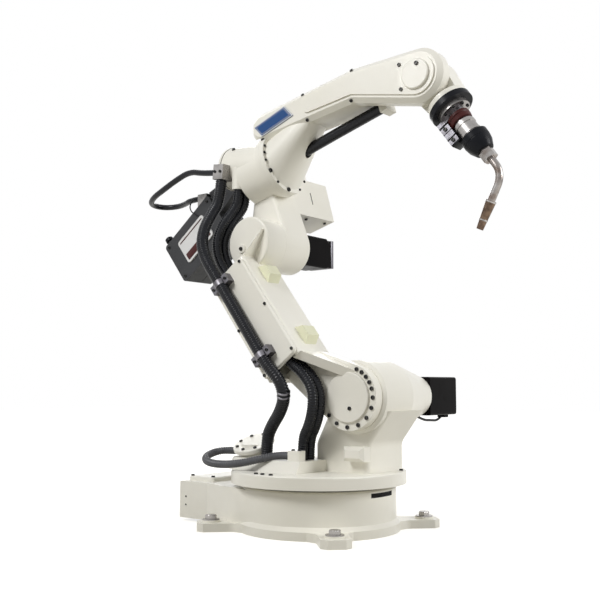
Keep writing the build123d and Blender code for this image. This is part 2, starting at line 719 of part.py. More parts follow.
def elbow_casting():
    body = disc(axis_plane(ELBOW_BACK), ELBOW_R, FLANGE_F - FLANGE_T - ELBOW_BACK)
    flange = disc(axis_plane(FLANGE_F - FLANGE_T), FLANGE_R, FLANGE_T)
    barrel = disc(barrel_plane(0), BARREL_R, BARREL_L)
    low_round = Pos(0, -ELBOW_OFFSET) * Circle(ELBOW_HUB_R)
    neck_front = BEAM_REAR_F - BEAM_REAR_R - TURN_ROOM
    high_end = rectangle(ELBOW_BACK, neck_front, NECK_TOP - NECK_EDGE, NECK_TOP)
    neck = extrude(forearm_plane(NECK_FAR) * hull(low_round, high_end), amount=NECK_FAR - NECK_NEAR)
    neck = fillet(near_edges(neck), NECK_EDGE)
    hub = lateral(J3_X, J3_Z, ELBOW_HUB_R, ARM_FAR + SEAT, NECK_FAR)
    width = 2 * (CONDUIT_R + SOCKET_WALL)
    mouth = Plane(origin=(J3_X + SOCKET_X, SOCKET_Y, J3_Z + SOCKET_Z), x_dir=(0, 1, 0), z_dir=(0, 0, 1))
    socket = extrude(mouth * SlotOverall(width + 2 * CONDUIT_R + CONDUIT_GAP, width), amount=BARREL_R)
    return body + flange + barrel + neck + hub + socket


def elbow_end_plate():
    plate = disc(barrel_plane(-END_PLATE_T), BARREL_R, END_PLATE_T)
    return fillet(plate.edges().sort_by(Axis.X)[0], END_PLATE_EDGE)


def j3_motor():
    return motor_block(J3_X, J3_Z, J3_MOTOR_W, NECK_FAR, J3_MOTOR_L)


def j3_motor_cap():
    return motor_block(J3_X, J3_Z, J3_CAP_W, NECK_FAR + J3_MOTOR_L, J3_CAP_L)


def elbow_side_cover():
    outline = rectangle(SIDE_BACK, SIDE_FRONT, SIDE_LOW, SIDE_HIGH)
    cover = extrude(forearm_plane(SIDE_FAR) * outline, amount=SIDE_FAR - NECK_FAR)
    cover = fillet(far_edges(cover), SIDE_EDGE)
    return cover - disc(axis_plane(ELBOW_BACK), ELBOW_R, FLANGE_F - ELBOW_BACK)


def feeder_body():
    body = extrude(feeder_plane(FEEDER_FAR) * Rectangle(FEEDER_L, FEEDER_H), amount=FEEDER_FAR - FEEDER_NEAR)
    return fillet(body.edges().filter_by(Axis.Y), FEEDER_EDGE)


def feeder_room():
    """The feeder's square box, cut out of what is fixed to it."""
    return extrude(feeder_plane(FEEDER_FAR) * Rectangle(FEEDER_L, FEEDER_H), amount=FEEDER_FAR - FEEDER_NEAR)


def feeder_inlet():
    x, y, z = from_j3([HOSE_LOOP_END])[0]
    inlet = block(x, x + INLET_L, y - INLET_W / 2, y + INLET_W / 2, z - 2 * INLET_H, z + INLET_H / 2)
    return inlet - feeder_room()


def feeder_panel():
    outline = RectangleRounded(PANEL_L, PANEL_H, PANEL_CORNER)
    return extrude(feeder_plane(FEEDER_NEAR) * outline, amount=PANEL_T)


def feeder_bracket():
    back = -END_PLATE_T
    outline = polygon([
        (back, 0), (back, -BARREL_R), (back - BRACKET_W, -2 * BARREL_R), (back - 2 * BRACKET_W, -BARREL_R)])
    return extrude(barrel_side(BRACKET_W) * outline, amount=BRACKET_W) - feeder_room()


def hose_gland():
    outline = rectangle(0, GLAND_L, GLAND_LOW, GLAND_TOP)
    gland = extrude(barrel_side(BARREL_Y) * outline, amount=BARREL_Y - GLAND_NEAR)
    gland = fillet(near_edges(gland), END_PLATE_EDGE)
    return gland - disc(barrel_plane(-OVERRUN), BARREL_R, BARREL_L)


def beam_outlines(inset):
    """Rear and front parts of the beam's side view, drawn in by an inset."""
    rear = Pos(BEAM_REAR_F, BEAM_REAR_G) * Circle(BEAM_REAR_R - inset)
    knee = Pos(BEAM_KNEE_F, BEAM_KNEE_G) * Circle(BEAM_KNEE_R - inset)
    tip = Pos(WRIST_F, 0) * Circle(CHEEK_R - inset)
    return hull(rear, knee), hull(knee, tip)


def forearm_beam():
    rear, front = beam_outlines(0)
    near = extrude(forearm_plane(CHEEK_FAR) * (rear + front), amount=CHEEK_FAR - BEAM_NEAR)
    near = chamfer(near_edges(near), BEAM_CHAMFER)
    far = extrude(forearm_plane(BEAM_FAR) * rear, amount=BEAM_FAR - CHEEK_FAR)
    lug_f = WRIST_F - LUG_BACK
    lug_y = TORCH_CABLE[-1][0]
    lug = extrude(forearm_plane(lug_y + LUG_W / 2) * rectangle(lug_f - LUG_L, lug_f, LUG_LOW, BEAM_KNEE_G),
                  amount=LUG_W)
    return near + far + lug - disc(axis_plane(0), FLANGE_R + TURN_ROOM, FLANGE_F + SEAT)


def forearm_cover():
    _, front = beam_outlines(BEAM_COVER_INSET)
    rear = Pos(BEAM_COVER_F, BEAM_COVER_G) * Circle(BEAM_COVER_R)
    knee = Pos(BEAM_KNEE_F, BEAM_KNEE_G) * Circle(BEAM_KNEE_R - BEAM_COVER_INSET)
    return extrude(forearm_plane(BEAM_NEAR) * (hull(rear, knee) + front), amount=BEAM_COVER_T)


def name_panel():
    return extrude(forearm_plane(BEAM_NEAR) * polygon(NAME_PANEL), amount=NAME_PANEL_T)


def wrist_cover():
    near = BEAM_NEAR - BEAM_COVER_T - WRIST_COVER_T
    cover = lateral(J5_X, J5_Z, WRIST_COVER_R, near, BEAM_NEAR - BEAM_COVER_T)
    return fillet(near_edges(cover), WRIST_COVER_T / 2)


def forearm_root():
    start = FLANGE_F + SEAT
    skirt = disc(axis_plane(start), FLANGE_R, ROOT_T)
    wide = axis_plane(start + ROOT_T) * Circle(ROOT_R)
    middle = (BEAM_NEAR + BEAM_FAR) / 2
    width = BEAM_FAR - BEAM_NEAR - 2 * BEAM_CHAMFER
    outline = RectangleRounded(width, ROOT_END_H, ROOT_END_CORNER)
    high = axis_plane(ROOT_END) * Pos(middle, ROOT_END_G) * outline
    bore = disc(axis_plane(start - OVERRUN), CABLE_R + CABLE_ROOM, ROOT_END)
    return skirt + loft([wide, high]) - bore - forearm_beam()


def torch_cable():
    start = FLANGE_F + SEAT
    bends = [(0, 0), *TORCH_CABLE, TORCH_CABLE[-1]]
    step = (WRIST_F - LUG_BACK - LUG_L - start) / (len(bends) - 1)
    return tube([spot(forearm_plane(y), start + i * step, up) for i, (y, up) in enumerate(bends)], CABLE_R)


def wrist_casting():
    outline = hull(Circle(WRIST_R), Line((COLLAR_START, -WRIST_NECK), (COLLAR_START, WRIST_NECK)))
    side = side_plane(J5_X, WRIST_FAR, J5_Z, -TOOL_PITCH)
    hub = extrude(side * outline, amount=WRIST_FAR - CHEEK_FAR - SEAT)
    hub = fillet(far_edges(hub), WRIST_EDGE)
    return hub + disc(tool_plane(COLLAR_START), COLLAR_R, RING_START - COLLAR_START)


def wrist_ring():
    return disc(tool_plane(RING_START), RING_R, RING_T)


def tool_flange():
    return disc(tool_plane(FLANGE_START), FLANGE_DISC_R, FLANGE_DISC_T)


def torch_mount():
    plane = tool_plane(TOOL_START)
    half = MOUNT_W / 2
    foot_plate = extrude(plane * rectangle(-half, half, -MOUNT_BACK, half), amount=MOUNT_T)
    leg = extrude(plane * rectangle(-half, half, -MOUNT_BACK, -BODY_R), amount=MOUNT_LEG_L)
    return foot_plate + leg + disc(plane, BODY_R - OVERRUN, MOUNT_L)


def torch_body():
    body = disc(tool_plane(BODY_START), BODY_R, BODY_L)
    return chamfer(body.edges().sort_by(Axis.Z)[-1], BODY_R / 8)


def torch_cone():
    return loft([tool_plane(CONE_START) * Circle(CONE_R), tool_plane(NUT_START) * Circle(CONE_TIP_R)])


def torch_nut():
    return extrude(tool_plane(NUT_START) * RegularPolygon(NUT_R, NUT_SIDES), amount=NUT_L)


def goose_path():
    """Middle line of the bent torch tube: its start, corner and end in the XZ plane."""
    start = tool_plane(GOOSE_START).origin
    first = radians(-TOOL_PITCH)
    last = radians(-TOOL_PITCH - GOOSE_TURN)
    corner = start + Vector(cos(first), 0, sin(first)) * GOOSE_RUN
    end = corner + Vector(cos(last), 0, sin(last)) * GOOSE_DROP
    return start, corner, end


def gooseneck():
    start, corner, end = goose_path()
    path = FilletPolyline(start, corner, end, radius=GOOSE_BEND)
    return sweep(Plane(origin=start, z_dir=corner - start) * Circle(GOOSE_R), path=path)


def nozzle():
    start, corner, end = goose_path()
    way = (end - corner).normalized()
    wide = Plane(origin=end, z_dir=way) * Circle(NOZZLE_R)
    tip = Plane(origin=end + way * NOZZLE_L, z_dir=way) * Circle(NOZZLE_TIP_R)
    return loft([wide, tip])


PIECES = [
    base_casting, connector_box, connector_lid, cable_sockets, bearing_ring,
    turntable, shoulder_column, shoulder_housing, j2_motor, j2_motor_cap, cable_tray, cable_dish, cable_grip,
    column_pad, dish_loop, hose_lower, conduit_lower,
    upper_arm_casting, arm_cover, arm_stops, hose_clamps, hose_mid, hose_upper, conduit_upper,
    elbow_casting, elbow_end_plate, j3_motor, j3_motor_cap, elbow_side_cover, feeder_body, feeder_panel,
    feeder_bracket, feeder_inlet, hose_gland, hose_loop,
    forearm_root, forearm_beam, forearm_cover, name_panel, wrist_cover, torch_cable,
    wrist_casting, wrist_ring,
    tool_flange, torch_mount, torch_body, torch_cone, torch_nut, gooseneck, nozzle,
]


def main():
    os.makedirs("parts", exist_ok=True)
    for make in PIECES:
        export_step(make(), f"parts/{make.__name__}.step")


if __name__ == "__main__":
    main()
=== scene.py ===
"""Looks for a six-axis arc-welding robot arm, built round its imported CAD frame."""
import json
import math

import bmesh
import bpy
from bpy.props import FloatProperty, FloatVectorProperty, IntProperty, PointerProperty
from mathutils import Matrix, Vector


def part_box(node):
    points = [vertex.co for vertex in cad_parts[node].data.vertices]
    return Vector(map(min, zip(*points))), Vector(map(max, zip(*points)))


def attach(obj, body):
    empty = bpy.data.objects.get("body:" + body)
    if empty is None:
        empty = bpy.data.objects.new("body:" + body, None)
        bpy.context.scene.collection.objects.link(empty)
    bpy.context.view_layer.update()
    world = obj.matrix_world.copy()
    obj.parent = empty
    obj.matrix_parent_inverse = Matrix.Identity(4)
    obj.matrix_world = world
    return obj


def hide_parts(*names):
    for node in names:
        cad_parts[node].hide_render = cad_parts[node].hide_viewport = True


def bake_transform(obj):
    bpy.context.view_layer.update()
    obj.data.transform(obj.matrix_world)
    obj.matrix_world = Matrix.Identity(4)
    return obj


bl_info = {
    "name": "Welding robot arm",
    "version": (1, 0, 0),
    "blender": (4, 5, 0),
    "location": "3D View > Sidebar > Robot",
    "description": "Paint, hoses, screws and torch details for a welding robot arm",
    "category": "Add Mesh",
}

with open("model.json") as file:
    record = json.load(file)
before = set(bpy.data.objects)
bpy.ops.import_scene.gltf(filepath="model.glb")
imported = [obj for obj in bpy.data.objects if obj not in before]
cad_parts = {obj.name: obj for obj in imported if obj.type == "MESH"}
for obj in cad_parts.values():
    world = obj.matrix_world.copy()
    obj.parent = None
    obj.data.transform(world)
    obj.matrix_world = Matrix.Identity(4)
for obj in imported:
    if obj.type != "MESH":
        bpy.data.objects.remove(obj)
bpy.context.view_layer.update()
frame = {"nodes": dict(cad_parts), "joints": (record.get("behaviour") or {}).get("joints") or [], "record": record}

# The joints give the places that everything else is measured from
JOINTS = {joint["name"]: joint for joint in frame["joints"]}
SHOULDER = Vector(JOINTS["j2_shoulder"]["pos_m"])
ELBOW = Vector(JOINTS["j3_elbow"]["pos_m"])
FOREARM = Vector(JOINTS["j4_roll"]["pos_m"])
WRIST = Vector(JOINTS["j5_bend"]["pos_m"])
LEFT = Vector((0, 1, 0))
UP = Vector((0, 0, 1))
ARM_WAY = (ELBOW - SHOULDER).normalized()
ARM_BACK = ARM_WAY.cross(LEFT)
FOREARM_WAY = Vector(JOINTS["j4_roll"]["axis"])
FOREARM_UP = FOREARM_WAY.cross(LEFT)
TOOL_WAY = Vector(JOINTS["j6_twist"]["axis"])
TOOL_UP = TOOL_WAY.cross(LEFT)
BARREL_PITCH = math.radians(-6)
BARREL_WAY = Vector((math.cos(BARREL_PITCH), 0, math.sin(BARREL_PITCH)))
BARREL_UP = BARREL_WAY.cross(LEFT)
BARREL_BACK = ELBOW + Vector((-0.150, 0, 0.278))
BARREL_Y = -0.020
BARREL_RADIUS = 0.072
FEEDER_TILT = math.radians(38)
FEEDER_WAY = Vector((math.cos(FEEDER_TILT), 0, math.sin(FEEDER_TILT)))
FEEDER_UP = FEEDER_WAY.cross(LEFT)
FEEDER_MIDDLE = ELBOW + Vector((-0.340, 0, 0.060))
FEEDER_HALF_LONG = 0.134
FEEDER_HALF_HIGH = 0.085
FEEDER_SIDES = ((-0.014, -LEFT), (0.112, LEFT))

# Upper arm: places along it, and how far the hose stands behind its middle line
CLAMP_LOW = 0.236
CLAMP_HIGH = 0.519
CLAMP_BACK = 0.110
HOSE_Y = -0.211
HOSE_RUN = 0.042
FOOT_RUN = 0.062
CONDUIT_Y = -0.139
CONDUIT_GAP = 0.001

# Tool: the bracket below the torch, and the bent neck, measured along the last axis
BRACKET_UP = -0.045
BRACKET_SIDE = -0.023
NECK_BEND_AT = 0.3753
NECK_BEND = math.radians(62)
NECK_END = 0.080

CAMERA_PLACE = (1.7070, -2.2246, 0.435)


def arm_point(along, back, y):
    """Place on the upper arm: along it from the shoulder, behind its middle line, and across."""
    return SHOULDER + ARM_WAY * along + ARM_BACK * back + LEFT * y


def forearm_point(along, up, y):
    """Place on the forearm: along and above its axis, and across."""
    return FOREARM + FOREARM_WAY * along + FOREARM_UP * up + LEFT * y


def barrel_point(along, up, y):
    """Place on the motor barrel behind the elbow: from its rear end, above its axis, and across."""
    return BARREL_BACK + BARREL_WAY * along + BARREL_UP * up + LEFT * y


def feeder_point(along, up, y):
    """Place on the wire feeder, from the middle of its tilted box."""
    return FEEDER_MIDDLE + FEEDER_WAY * along + FEEDER_UP * up + LEFT * y


def tool_point(along, up, y):
    """Place on the tool, from the wrist axis."""
    return WRIST + TOOL_WAY * along + TOOL_UP * up + LEFT * y


class RobotFinish(bpy.types.PropertyGroup):
    """Colours of the robot's paints and bare parts."""

    cream: FloatVectorProperty(
        name="Cream paint", description="Paint on the castings", subtype="COLOR", size=4,
        min=0, max=1, default=(0.875, 0.855, 0.780, 1))
    cream_shade: FloatVectorProperty(
        name="Cream shade", description="Aged patches in the cream paint", subtype="COLOR", size=4,
        min=0, max=1, default=(0.800, 0.775, 0.680, 1))
    black: FloatVectorProperty(
        name="Motor black", description="Paint on the motors", subtype="COLOR", size=4,
        min=0, max=1, default=(0.0045, 0.0040, 0.0042, 1))
    rubber: FloatVectorProperty(
        name="Hose rubber", description="Ribbed black hoses", subtype="COLOR", size=4,
        min=0, max=1, default=(0.0065, 0.0072, 0.0100, 1))
    conduit: FloatVectorProperty(
        name="Grey conduit", description="Looped conduit at the foot of the arm", subtype="COLOR", size=4,
        min=0, max=1, default=(0.060, 0.061, 0.068, 1))
    steel: FloatVectorProperty(
        name="Plated steel", description="Clamps, torch and screws", subtype="COLOR", size=4,
        min=0, max=1, default=(0.37, 0.355, 0.345, 1))
    bronze: FloatVectorProperty(
        name="Heat-tinted copper", description="Torch nozzle", subtype="COLOR", size=4,
        min=0, max=1, default=(0.150, 0.104, 0.074, 1))
    feeder: FloatVectorProperty(
        name="Feeder grey", description="Textured paint on the wire feeder", subtype="COLOR", size=4,
        min=0, max=1, default=(0.030, 0.031, 0.034, 1))
    blue: FloatVectorProperty(
        name="Panel blue", description="Plain panel on the forearm", subtype="COLOR", size=4,
        min=0, max=1, default=(0.020, 0.070, 0.215, 1))
    red: FloatVectorProperty(
        name="Band red", description="Band on the feeder panel and the torch boot", subtype="COLOR", size=4,
        min=0, max=1, default=(0.066, 0.013, 0.012, 1))
    stop: FloatVectorProperty(
        name="Stop block", description="Pale stop blocks on the upper arm", subtype="COLOR", size=4,
        min=0, max=1, default=(0.82, 0.82, 0.60, 1))


class RobotSizes(bpy.types.PropertyGroup):
    """Sizes of the hoses and screws."""

    hose_radius: FloatProperty(
        name="Hose radius", description="Large hose beside the upper arm", unit="LENGTH",
        default=0.019, min=0.002)
    conduit_radius: FloatProperty(
        name="Conduit radius", description="Each of the paired conduits", unit="LENGTH",
        default=0.016, min=0.002)
    loop_radius: FloatProperty(
        name="Loop radius", description="Looped hose behind the elbow", unit="LENGTH",
        default=0.010, min=0.002)
    dish_radius: FloatProperty(
        name="Grey conduit radius", description="Conduit round the cable dish", unit="LENGTH",
        default=0.012, min=0.002)
    lead_radius: FloatProperty(
        name="Torch lead radius", description="Cable under the forearm", unit="LENGTH",
        default=0.017, min=0.002)
    motor_lead_radius: FloatProperty(
        name="Motor lead radius", description="Lead of the shoulder motor", unit="LENGTH",
        default=0.004, min=0.001)
    wire_radius: FloatProperty(
        name="Wire radius", description="Thin loop of wire at the feeder", unit="LENGTH",
        default=0.0022, min=0.0005)
    rib_pitch: FloatProperty(
        name="Rib pitch", description="Distance from rib to rib on a hose", unit="LENGTH",
        default=0.0075, min=0.001)
    rib_depth: FloatProperty(
        name="Rib depth", description="Depth of the grooves between ribs", unit="LENGTH",
        default=0.0018, min=0)
    screw: FloatProperty(
        name="Screw head", description="Radius of a usual cap-screw head", unit="LENGTH",
        default=0.0062, min=0.001)
    floor_bolt: FloatProperty(
        name="Floor bolt", description="Radius of the hexagon heads on the feet", unit="LENGTH",
        default=0.018, min=0.002)
    hose_sides: IntProperty(name="Hose sides", description="Faces round a hose", default=20, min=6, max=48)


class RobotStage(bpy.types.PropertyGroup):
    """Floor, light and camera."""

    floor: FloatVectorProperty(
        name="Floor", description="Colour of the studio floor", subtype="COLOR", size=4, min=0, max=1,
        default=(0.42, 0.40, 0.34, 1))
    glow: FloatProperty(
        name="Floor glow", description="Share of white that the floor shows by itself near the object",
        default=0.74, min=0, max=1)
    shade_reach: FloatProperty(
        name="Shadow reach", description="Distance from the object at which the floor is plain white",
        unit="LENGTH", default=1.5, min=0.1)
    air: FloatProperty(
        name="Air", description="Strength of the light from all sides", default=0.22, min=0)
    key: FloatProperty(
        name="Key light", description="Power of the key light", unit="POWER", default=106, min=0)
    fill: FloatProperty(
        name="Fill light", description="Power of the fill light", unit="POWER", default=96, min=0)
    back: FloatProperty(
        name="Back light", description="Power of the light behind", unit="POWER", default=42, min=0)
    lens: FloatProperty(name="Lens", description="Focal length in millimetres", default=54, min=10)
    heading: FloatProperty(
        name="Heading", description="Turn of the camera about the upright", subtype="ANGLE",
        default=math.radians(38.68))
    tilt: FloatProperty(
        name="Tilt", description="Upward tilt of the camera", subtype="ANGLE", default=math.radians(5.40))


# Shader groups and materials

def socket(tree, label, kind, default=None, output=False):
    """Named socket on a node group."""
    made = tree.interface.new_socket(label, in_out="OUTPUT" if output else "INPUT", socket_type=kind)
    if default is not None:
        made.default_value = default
    return made


def put(tree, kind, links=None, **settings):
    """Node with its own settings, and its inputs set or linked by name."""
    node = tree.nodes.new(kind)
    for name, value in settings.items():
        setattr(node, name, value)
    for name, value in (links or {}).items():
        target = node.inputs[name]
        if isinstance(value, bpy.types.NodeSocket):
            tree.links.new(value, target)
        else:
            target.default_value = value
    return node


def mix_colours(tree, share, first, second):
    """Mix of two colours by a share."""
    node = tree.nodes.new("ShaderNodeMix")
    node.data_type = "RGBA"
    for place, value in ((0, share), (6, first), (7, second)):
        if isinstance(value, bpy.types.NodeSocket):
            tree.links.new(value, node.inputs[place])
        else:
            node.inputs[place].default_value = value
    return node.outputs[2]


def skin_group():
    """Shared surface: aged patches in the colour, uneven gloss and a fine grain."""
    tree = bpy.data.node_groups.get("worked_surface")
    if tree:
        return tree
    tree = bpy.data.node_groups.new("worked_surface", "ShaderNodeTree")
    socket(tree, "Colour", "NodeSocketColor", (0.8, 0.8, 0.8, 1))
    socket(tree, "Patch Colour", "NodeSocketColor", (0.6, 0.6, 0.6, 1))
    socket(tree, "Patch Scale", "NodeSocketFloat", 6.0)
    socket(tree, "Patch Share", "NodeSocketFloat", 0.5)
    socket(tree, "Gloss From", "NodeSocketFloat", 0.35)
    socket(tree, "Gloss To", "NodeSocketFloat", 0.5)
    socket(tree, "Grain Scale", "NodeSocketFloat", 300.0)
    socket(tree, "Darkening Height", "NodeSocketFloat", 0.1)
    socket(tree, "Darkening Share", "NodeSocketFloat", 0.0)
    socket(tree, "Surface Colour", "NodeSocketColor", output=True)
    socket(tree, "Roughness", "NodeSocketFloat", output=True)
    socket(tree, "Grain", "NodeSocketFloat", output=True)
    given = tree.nodes.new("NodeGroupInput").outputs
    place = tree.nodes.new("ShaderNodeTexCoord").outputs["Object"]
    patches = put(tree, "ShaderNodeTexNoise", {
        "Vector": place, "Scale": given["Patch Scale"], "Detail": 5.0})
    patch = put(tree, "ShaderNodeMapRange", {
        "Value": patches.outputs["Fac"], "From Min": 0.42, "From Max": 0.68, "To Max": given["Patch Share"]})
    aged = mix_colours(tree, patch.outputs["Result"], given["Colour"], given["Patch Colour"])
    # Darker in specks towards the bottom: from a given height down, the colour moves towards the patch colour.
    height = put(tree, "ShaderNodeSeparateXYZ", {"Vector": place}).outputs["Z"]
    low = put(tree, "ShaderNodeMapRange", {
        "Value": height, "From Min": given["Darkening Height"], "From Max": 0.0, "To Max": given["Darkening Share"]})
    specks = put(tree, "ShaderNodeTexNoise", {"Vector": place, "Scale": 38.0, "Detail": 6.0})
    low_darkening = put(tree, "ShaderNodeMath", {
        0: low.outputs["Result"], 1: specks.outputs["Fac"]}, operation="MULTIPLY")
    darkened_low = mix_colours(tree, low_darkening.outputs["Value"], aged, given["Patch Colour"])
    grain = put(tree, "ShaderNodeTexNoise", {
        "Vector": place, "Scale": given["Grain Scale"], "Detail": 3.0})
    gloss = put(tree, "ShaderNodeMapRange", {
        "Value": specks.outputs["Fac"], "From Min": 0.3, "From Max": 0.7,
        "To Min": given["Gloss From"], "To Max": given["Gloss To"]})
    put(tree, "NodeGroupOutput", {
        "Surface Colour": darkened_low, "Roughness": gloss.outputs["Result"], "Grain": grain.outputs["Fac"]})
    return tree


def finish(name, colour, patch, gloss, metallic=0.0, patches=(6.0, 0.5), grain=(300.0, 0.02),
           low_darkening=(0.1, 0.0), coat=0.0, shine=0.5):
    """Material whose colour, gloss and grain come from the shared surface."""
    label = "robot_" + name
    material = bpy.data.materials.get(label)
    if material:
        return material
    material = bpy.data.materials.new(label)
    material.use_nodes = True
    tree = material.node_tree
    shader = tree.nodes["Principled BSDF"]
    skin = put(tree, "ShaderNodeGroup", {
        "Colour": colour, "Patch Colour": patch, "Patch Scale": patches[0], "Patch Share": patches[1],
        "Gloss From": gloss[0], "Gloss To": gloss[1], "Grain Scale": grain[0],
        "Darkening Height": low_darkening[0], "Darkening Share": low_darkening[1]}, node_tree=skin_group())
    bump = put(tree, "ShaderNodeBump", {
        "Height": skin.outputs["Grain"], "Strength": grain[1], "Distance": 0.001})
    tree.links.new(skin.outputs["Surface Colour"], shader.inputs["Base Color"])
    tree.links.new(skin.outputs["Roughness"], shader.inputs["Roughness"])
    tree.links.new(bump.outputs["Normal"], shader.inputs["Normal"])
    shader.inputs["Metallic"].default_value = metallic
    shader.inputs["Coat Weight"].default_value = coat
    shader.inputs["Specular IOR Level"].default_value = shine
    return material


def shade(colour, factor):
    """The same colour, lighter or darker by a factor."""
    return [channel * factor for channel in colour[:3]] + [1]


def finishes():
    """All materials by the record's slot names, with the scene's own extras."""
    tint = bpy.context.scene.robot_finish
    looks = (
        ("cream_paint", tint.cream, tint.cream_shade, (0.30, 0.46),
         {"patches": (2.6, 0.55), "grain": (420.0, 0.05), "low_darkening": (0.16, 0.7), "coat": 0.1}),
        ("motor_black", tint.black, shade(tint.black, 2.0), (0.30, 0.44),
         {"grain": (500.0, 0.08), "shine": 0.03}),
        ("bare_metal", tint.steel, shade(tint.steel, 0.5), (0.20, 0.38),
         {"metallic": 1.0, "patches": (24.0, 0.6), "grain": (900.0, 0.05)}),
        ("hose_black", tint.rubber, shade(tint.rubber, 2.0), (0.20, 0.34),
         {"patches": (14.0, 0.5), "grain": (700.0, 0.1), "shine": 0.22}),
        ("hose_grey", tint.conduit, shade(tint.conduit, 1.7), (0.34, 0.5),
         {"patches": (14.0, 0.5), "grain": (700.0, 0.1)}),
        ("bearing_dark", [0.03, 0.03, 0.032, 1], [0.07, 0.065, 0.06, 1], (0.3, 0.5), {"metallic": 0.6}),
        ("nozzle_bronze", tint.bronze, [0.060, 0.040, 0.031, 1], (0.22, 0.4),
         {"metallic": 1.0, "patches": (60.0, 0.9)}),
        ("ring_black", [0.007, 0.008, 0.011, 1], [0.018, 0.018, 0.022, 1], (0.26, 0.4), {"shine": 0.10}),
        ("neck_metal", shade(tint.steel, 0.95), [0.15, 0.115, 0.095, 1], (0.18, 0.32),
         {"metallic": 1.0, "patches": (34.0, 0.9)}),
        ("mount_metal", [0.185, 0.180, 0.198, 1], [0.085, 0.078, 0.082, 1], (0.24, 0.42),
         {"metallic": 1.0, "patches": (46.0, 0.8), "grain": (800.0, 0.08)}),
        ("feeder_grey", tint.feeder, shade(tint.feeder, 1.7), (0.42, 0.6),
         {"grain": (520.0, 0.35), "shine": 0.3}),
        ("panel_white", [0.78, 0.78, 0.78, 1], [0.66, 0.66, 0.65, 1], (0.35, 0.5), {}),
        ("panel_blue", tint.blue, shade(tint.blue, 1.25), (0.28, 0.42), {"shine": 0.18}),
        ("stop_yellow", tint.stop, shade(tint.stop, 0.82), (0.34, 0.5), {"grain": (420.0, 0.05)}),
        ("band_red", tint.red, shade(tint.red, 0.6), (0.35, 0.5), {"shine": 0.2}),
        ("screw_black", [0.02, 0.02, 0.021, 1], [0.42, 0.40, 0.34, 1], (0.28, 0.42),
         {"metallic": 0.7, "patches": (60.0, 0.12)}),
        ("gasket", [0.008, 0.008, 0.008, 1], [0.02, 0.02, 0.02, 1], (0.5, 0.7), {"shine": 0.08}),
    )
    return {name: finish(name, colour, patch, gloss, **more) for name, colour, patch, gloss, more in looks}


# Meshes

def piece(name, mesh, body, material, replaced=()):
    """Finished mesh that rides on a body and takes a slot's finish."""
    thing = bpy.data.objects.new(name, mesh)
    bpy.context.scene.collection.objects.link(thing)
    if material:
        mesh.materials.clear()
        mesh.materials.append(finishes()[material])
    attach(thing, body)
    if replaced:
        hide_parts(*replaced)
    return thing


def wrap_rings(form, rings):
    """Faces from ring to ring, with a flat cap at each end."""
    sides = len(rings[0])
    for lower, upper in zip(rings, rings[1:]):
        for i in range(sides):
            after = (i + 1) % sides
            form.faces.new((lower[i], lower[after], upper[after], upper[i]))
    form.faces.new(list(reversed(rings[0])))
    form.faces.new(rings[-1])


def lathe(name, profile, start, way, sides=32):
    """Round mesh: a profile of (along, radius) pairs turned about a line."""
    way = way.normalized()
    across = way.orthogonal().normalized()
    beside = way.cross(across)
    form = bmesh.new()
    rings = []
    for along, radius in profile:
        middle = start + way * along
        ring = []
        for i in range(sides):
            turn = 2 * math.pi * i / sides
            out = across * math.cos(turn) + beside * math.sin(turn)
            ring.append(form.verts.new(middle + out * radius))
        rings.append(ring)
    wrap_rings(form, rings)
    return closed(name, form, smooth=True)


def eased_ring(name, inner, outer, width, start, way, sides):
    """Ring with eased edges: the radius at its ends, the radius between them, and its width."""
    ease = 0.001
    profile = [(0, inner), (ease, outer), (width - ease, outer), (width, inner)]
    return lathe(name, profile, start, way, sides)


def closed(name, form, smooth=False):
    """Mesh from a bmesh, with outward faces and creases kept sharp."""
    bmesh.ops.recalc_face_normals(form, faces=form.faces)
    for face in form.faces:
        face.smooth = smooth
    crease = math.radians(32)
    for edge in form.edges:
        edge.smooth = len(edge.link_faces) == 2 and edge.calc_face_angle(0) < crease
    mesh = bpy.data.meshes.new(name)
    form.to_mesh(mesh)
    form.free()
    return mesh


def prism(name, outline, depth, bevel=0.0):
    """Flat outline of points pushed along a vector, with its edges eased."""
    form = bmesh.new()
    base = [form.verts.new(point) for point in outline]
    top = [form.verts.new(point + depth) for point in outline]
    count = len(outline)
    form.faces.new(list(reversed(base)))
    form.faces.new(top)
    for i in range(count):
        form.faces.new((base[i], base[(i + 1) % count], top[(i + 1) % count], top[i]))
    if bevel:
        bmesh.ops.bevel(form, geom=list(form.edges), offset=bevel, segments=2, profile=0.5, affect="EDGES")
    return closed(name, form, smooth=True)


def box_piece(name, middle, size, turn, bevel):
    """Eased block: its middle, its three sizes, and the three directions that they lie along."""
    first, second, third = turn
    half = [side / 2 for side in size]
    corner = middle - third * half[2]
    signs = ((-1, -1), (1, -1), (1, 1), (-1, 1))
    outline = [corner + first * a * half[0] + second * b * half[1] for a, b in signs]
    return prism(name, outline, third * size[2], bevel)


def screw_head(name, sides, levels):
    """Unit head on the origin along +Z, from rings of height, radius and share of a hexagon."""
    sixth = math.pi / 3
    form = bmesh.new()
    rings = []
    for height, radius, share in levels:
        ring = []
        for i in range(sides):
            turn = 2 * math.pi * i / sides
            edge = math.cos(sixth / 2) / math.cos(turn % sixth - sixth / 2)
            reach = radius * (1 - share + share * edge)
            ring.append(form.verts.new((reach * math.cos(turn), reach * math.sin(turn), height)))
        rings.append(ring)
    wrap_rings(form, rings)
    return bpy.data.objects.new(name, closed(name, form))


def cap_screw():
    """Pattern of a cap-screw head with a hexagon socket."""
    corner = 1 / math.cos(math.pi / 6)
    return screw_head("cap_screw_pattern", 12, (
        (0.0, 1.0, 0), (0.62, 1.0, 0), (0.76, 0.88, 0), (0.76, 0.56 * corner, 1), (0.36, 0.54 * corner, 1)))


def hexagon_bolt():
    """Pattern of a hexagon head on a washer."""
    return screw_head("floor_bolt_pattern", 24, (
        (0.0, 1.45, 0), (0.16, 1.45, 0), (0.17, 1.0, 1), (0.72, 1.0, 1), (0.84, 0.84, 0)))


# Geometry node trees

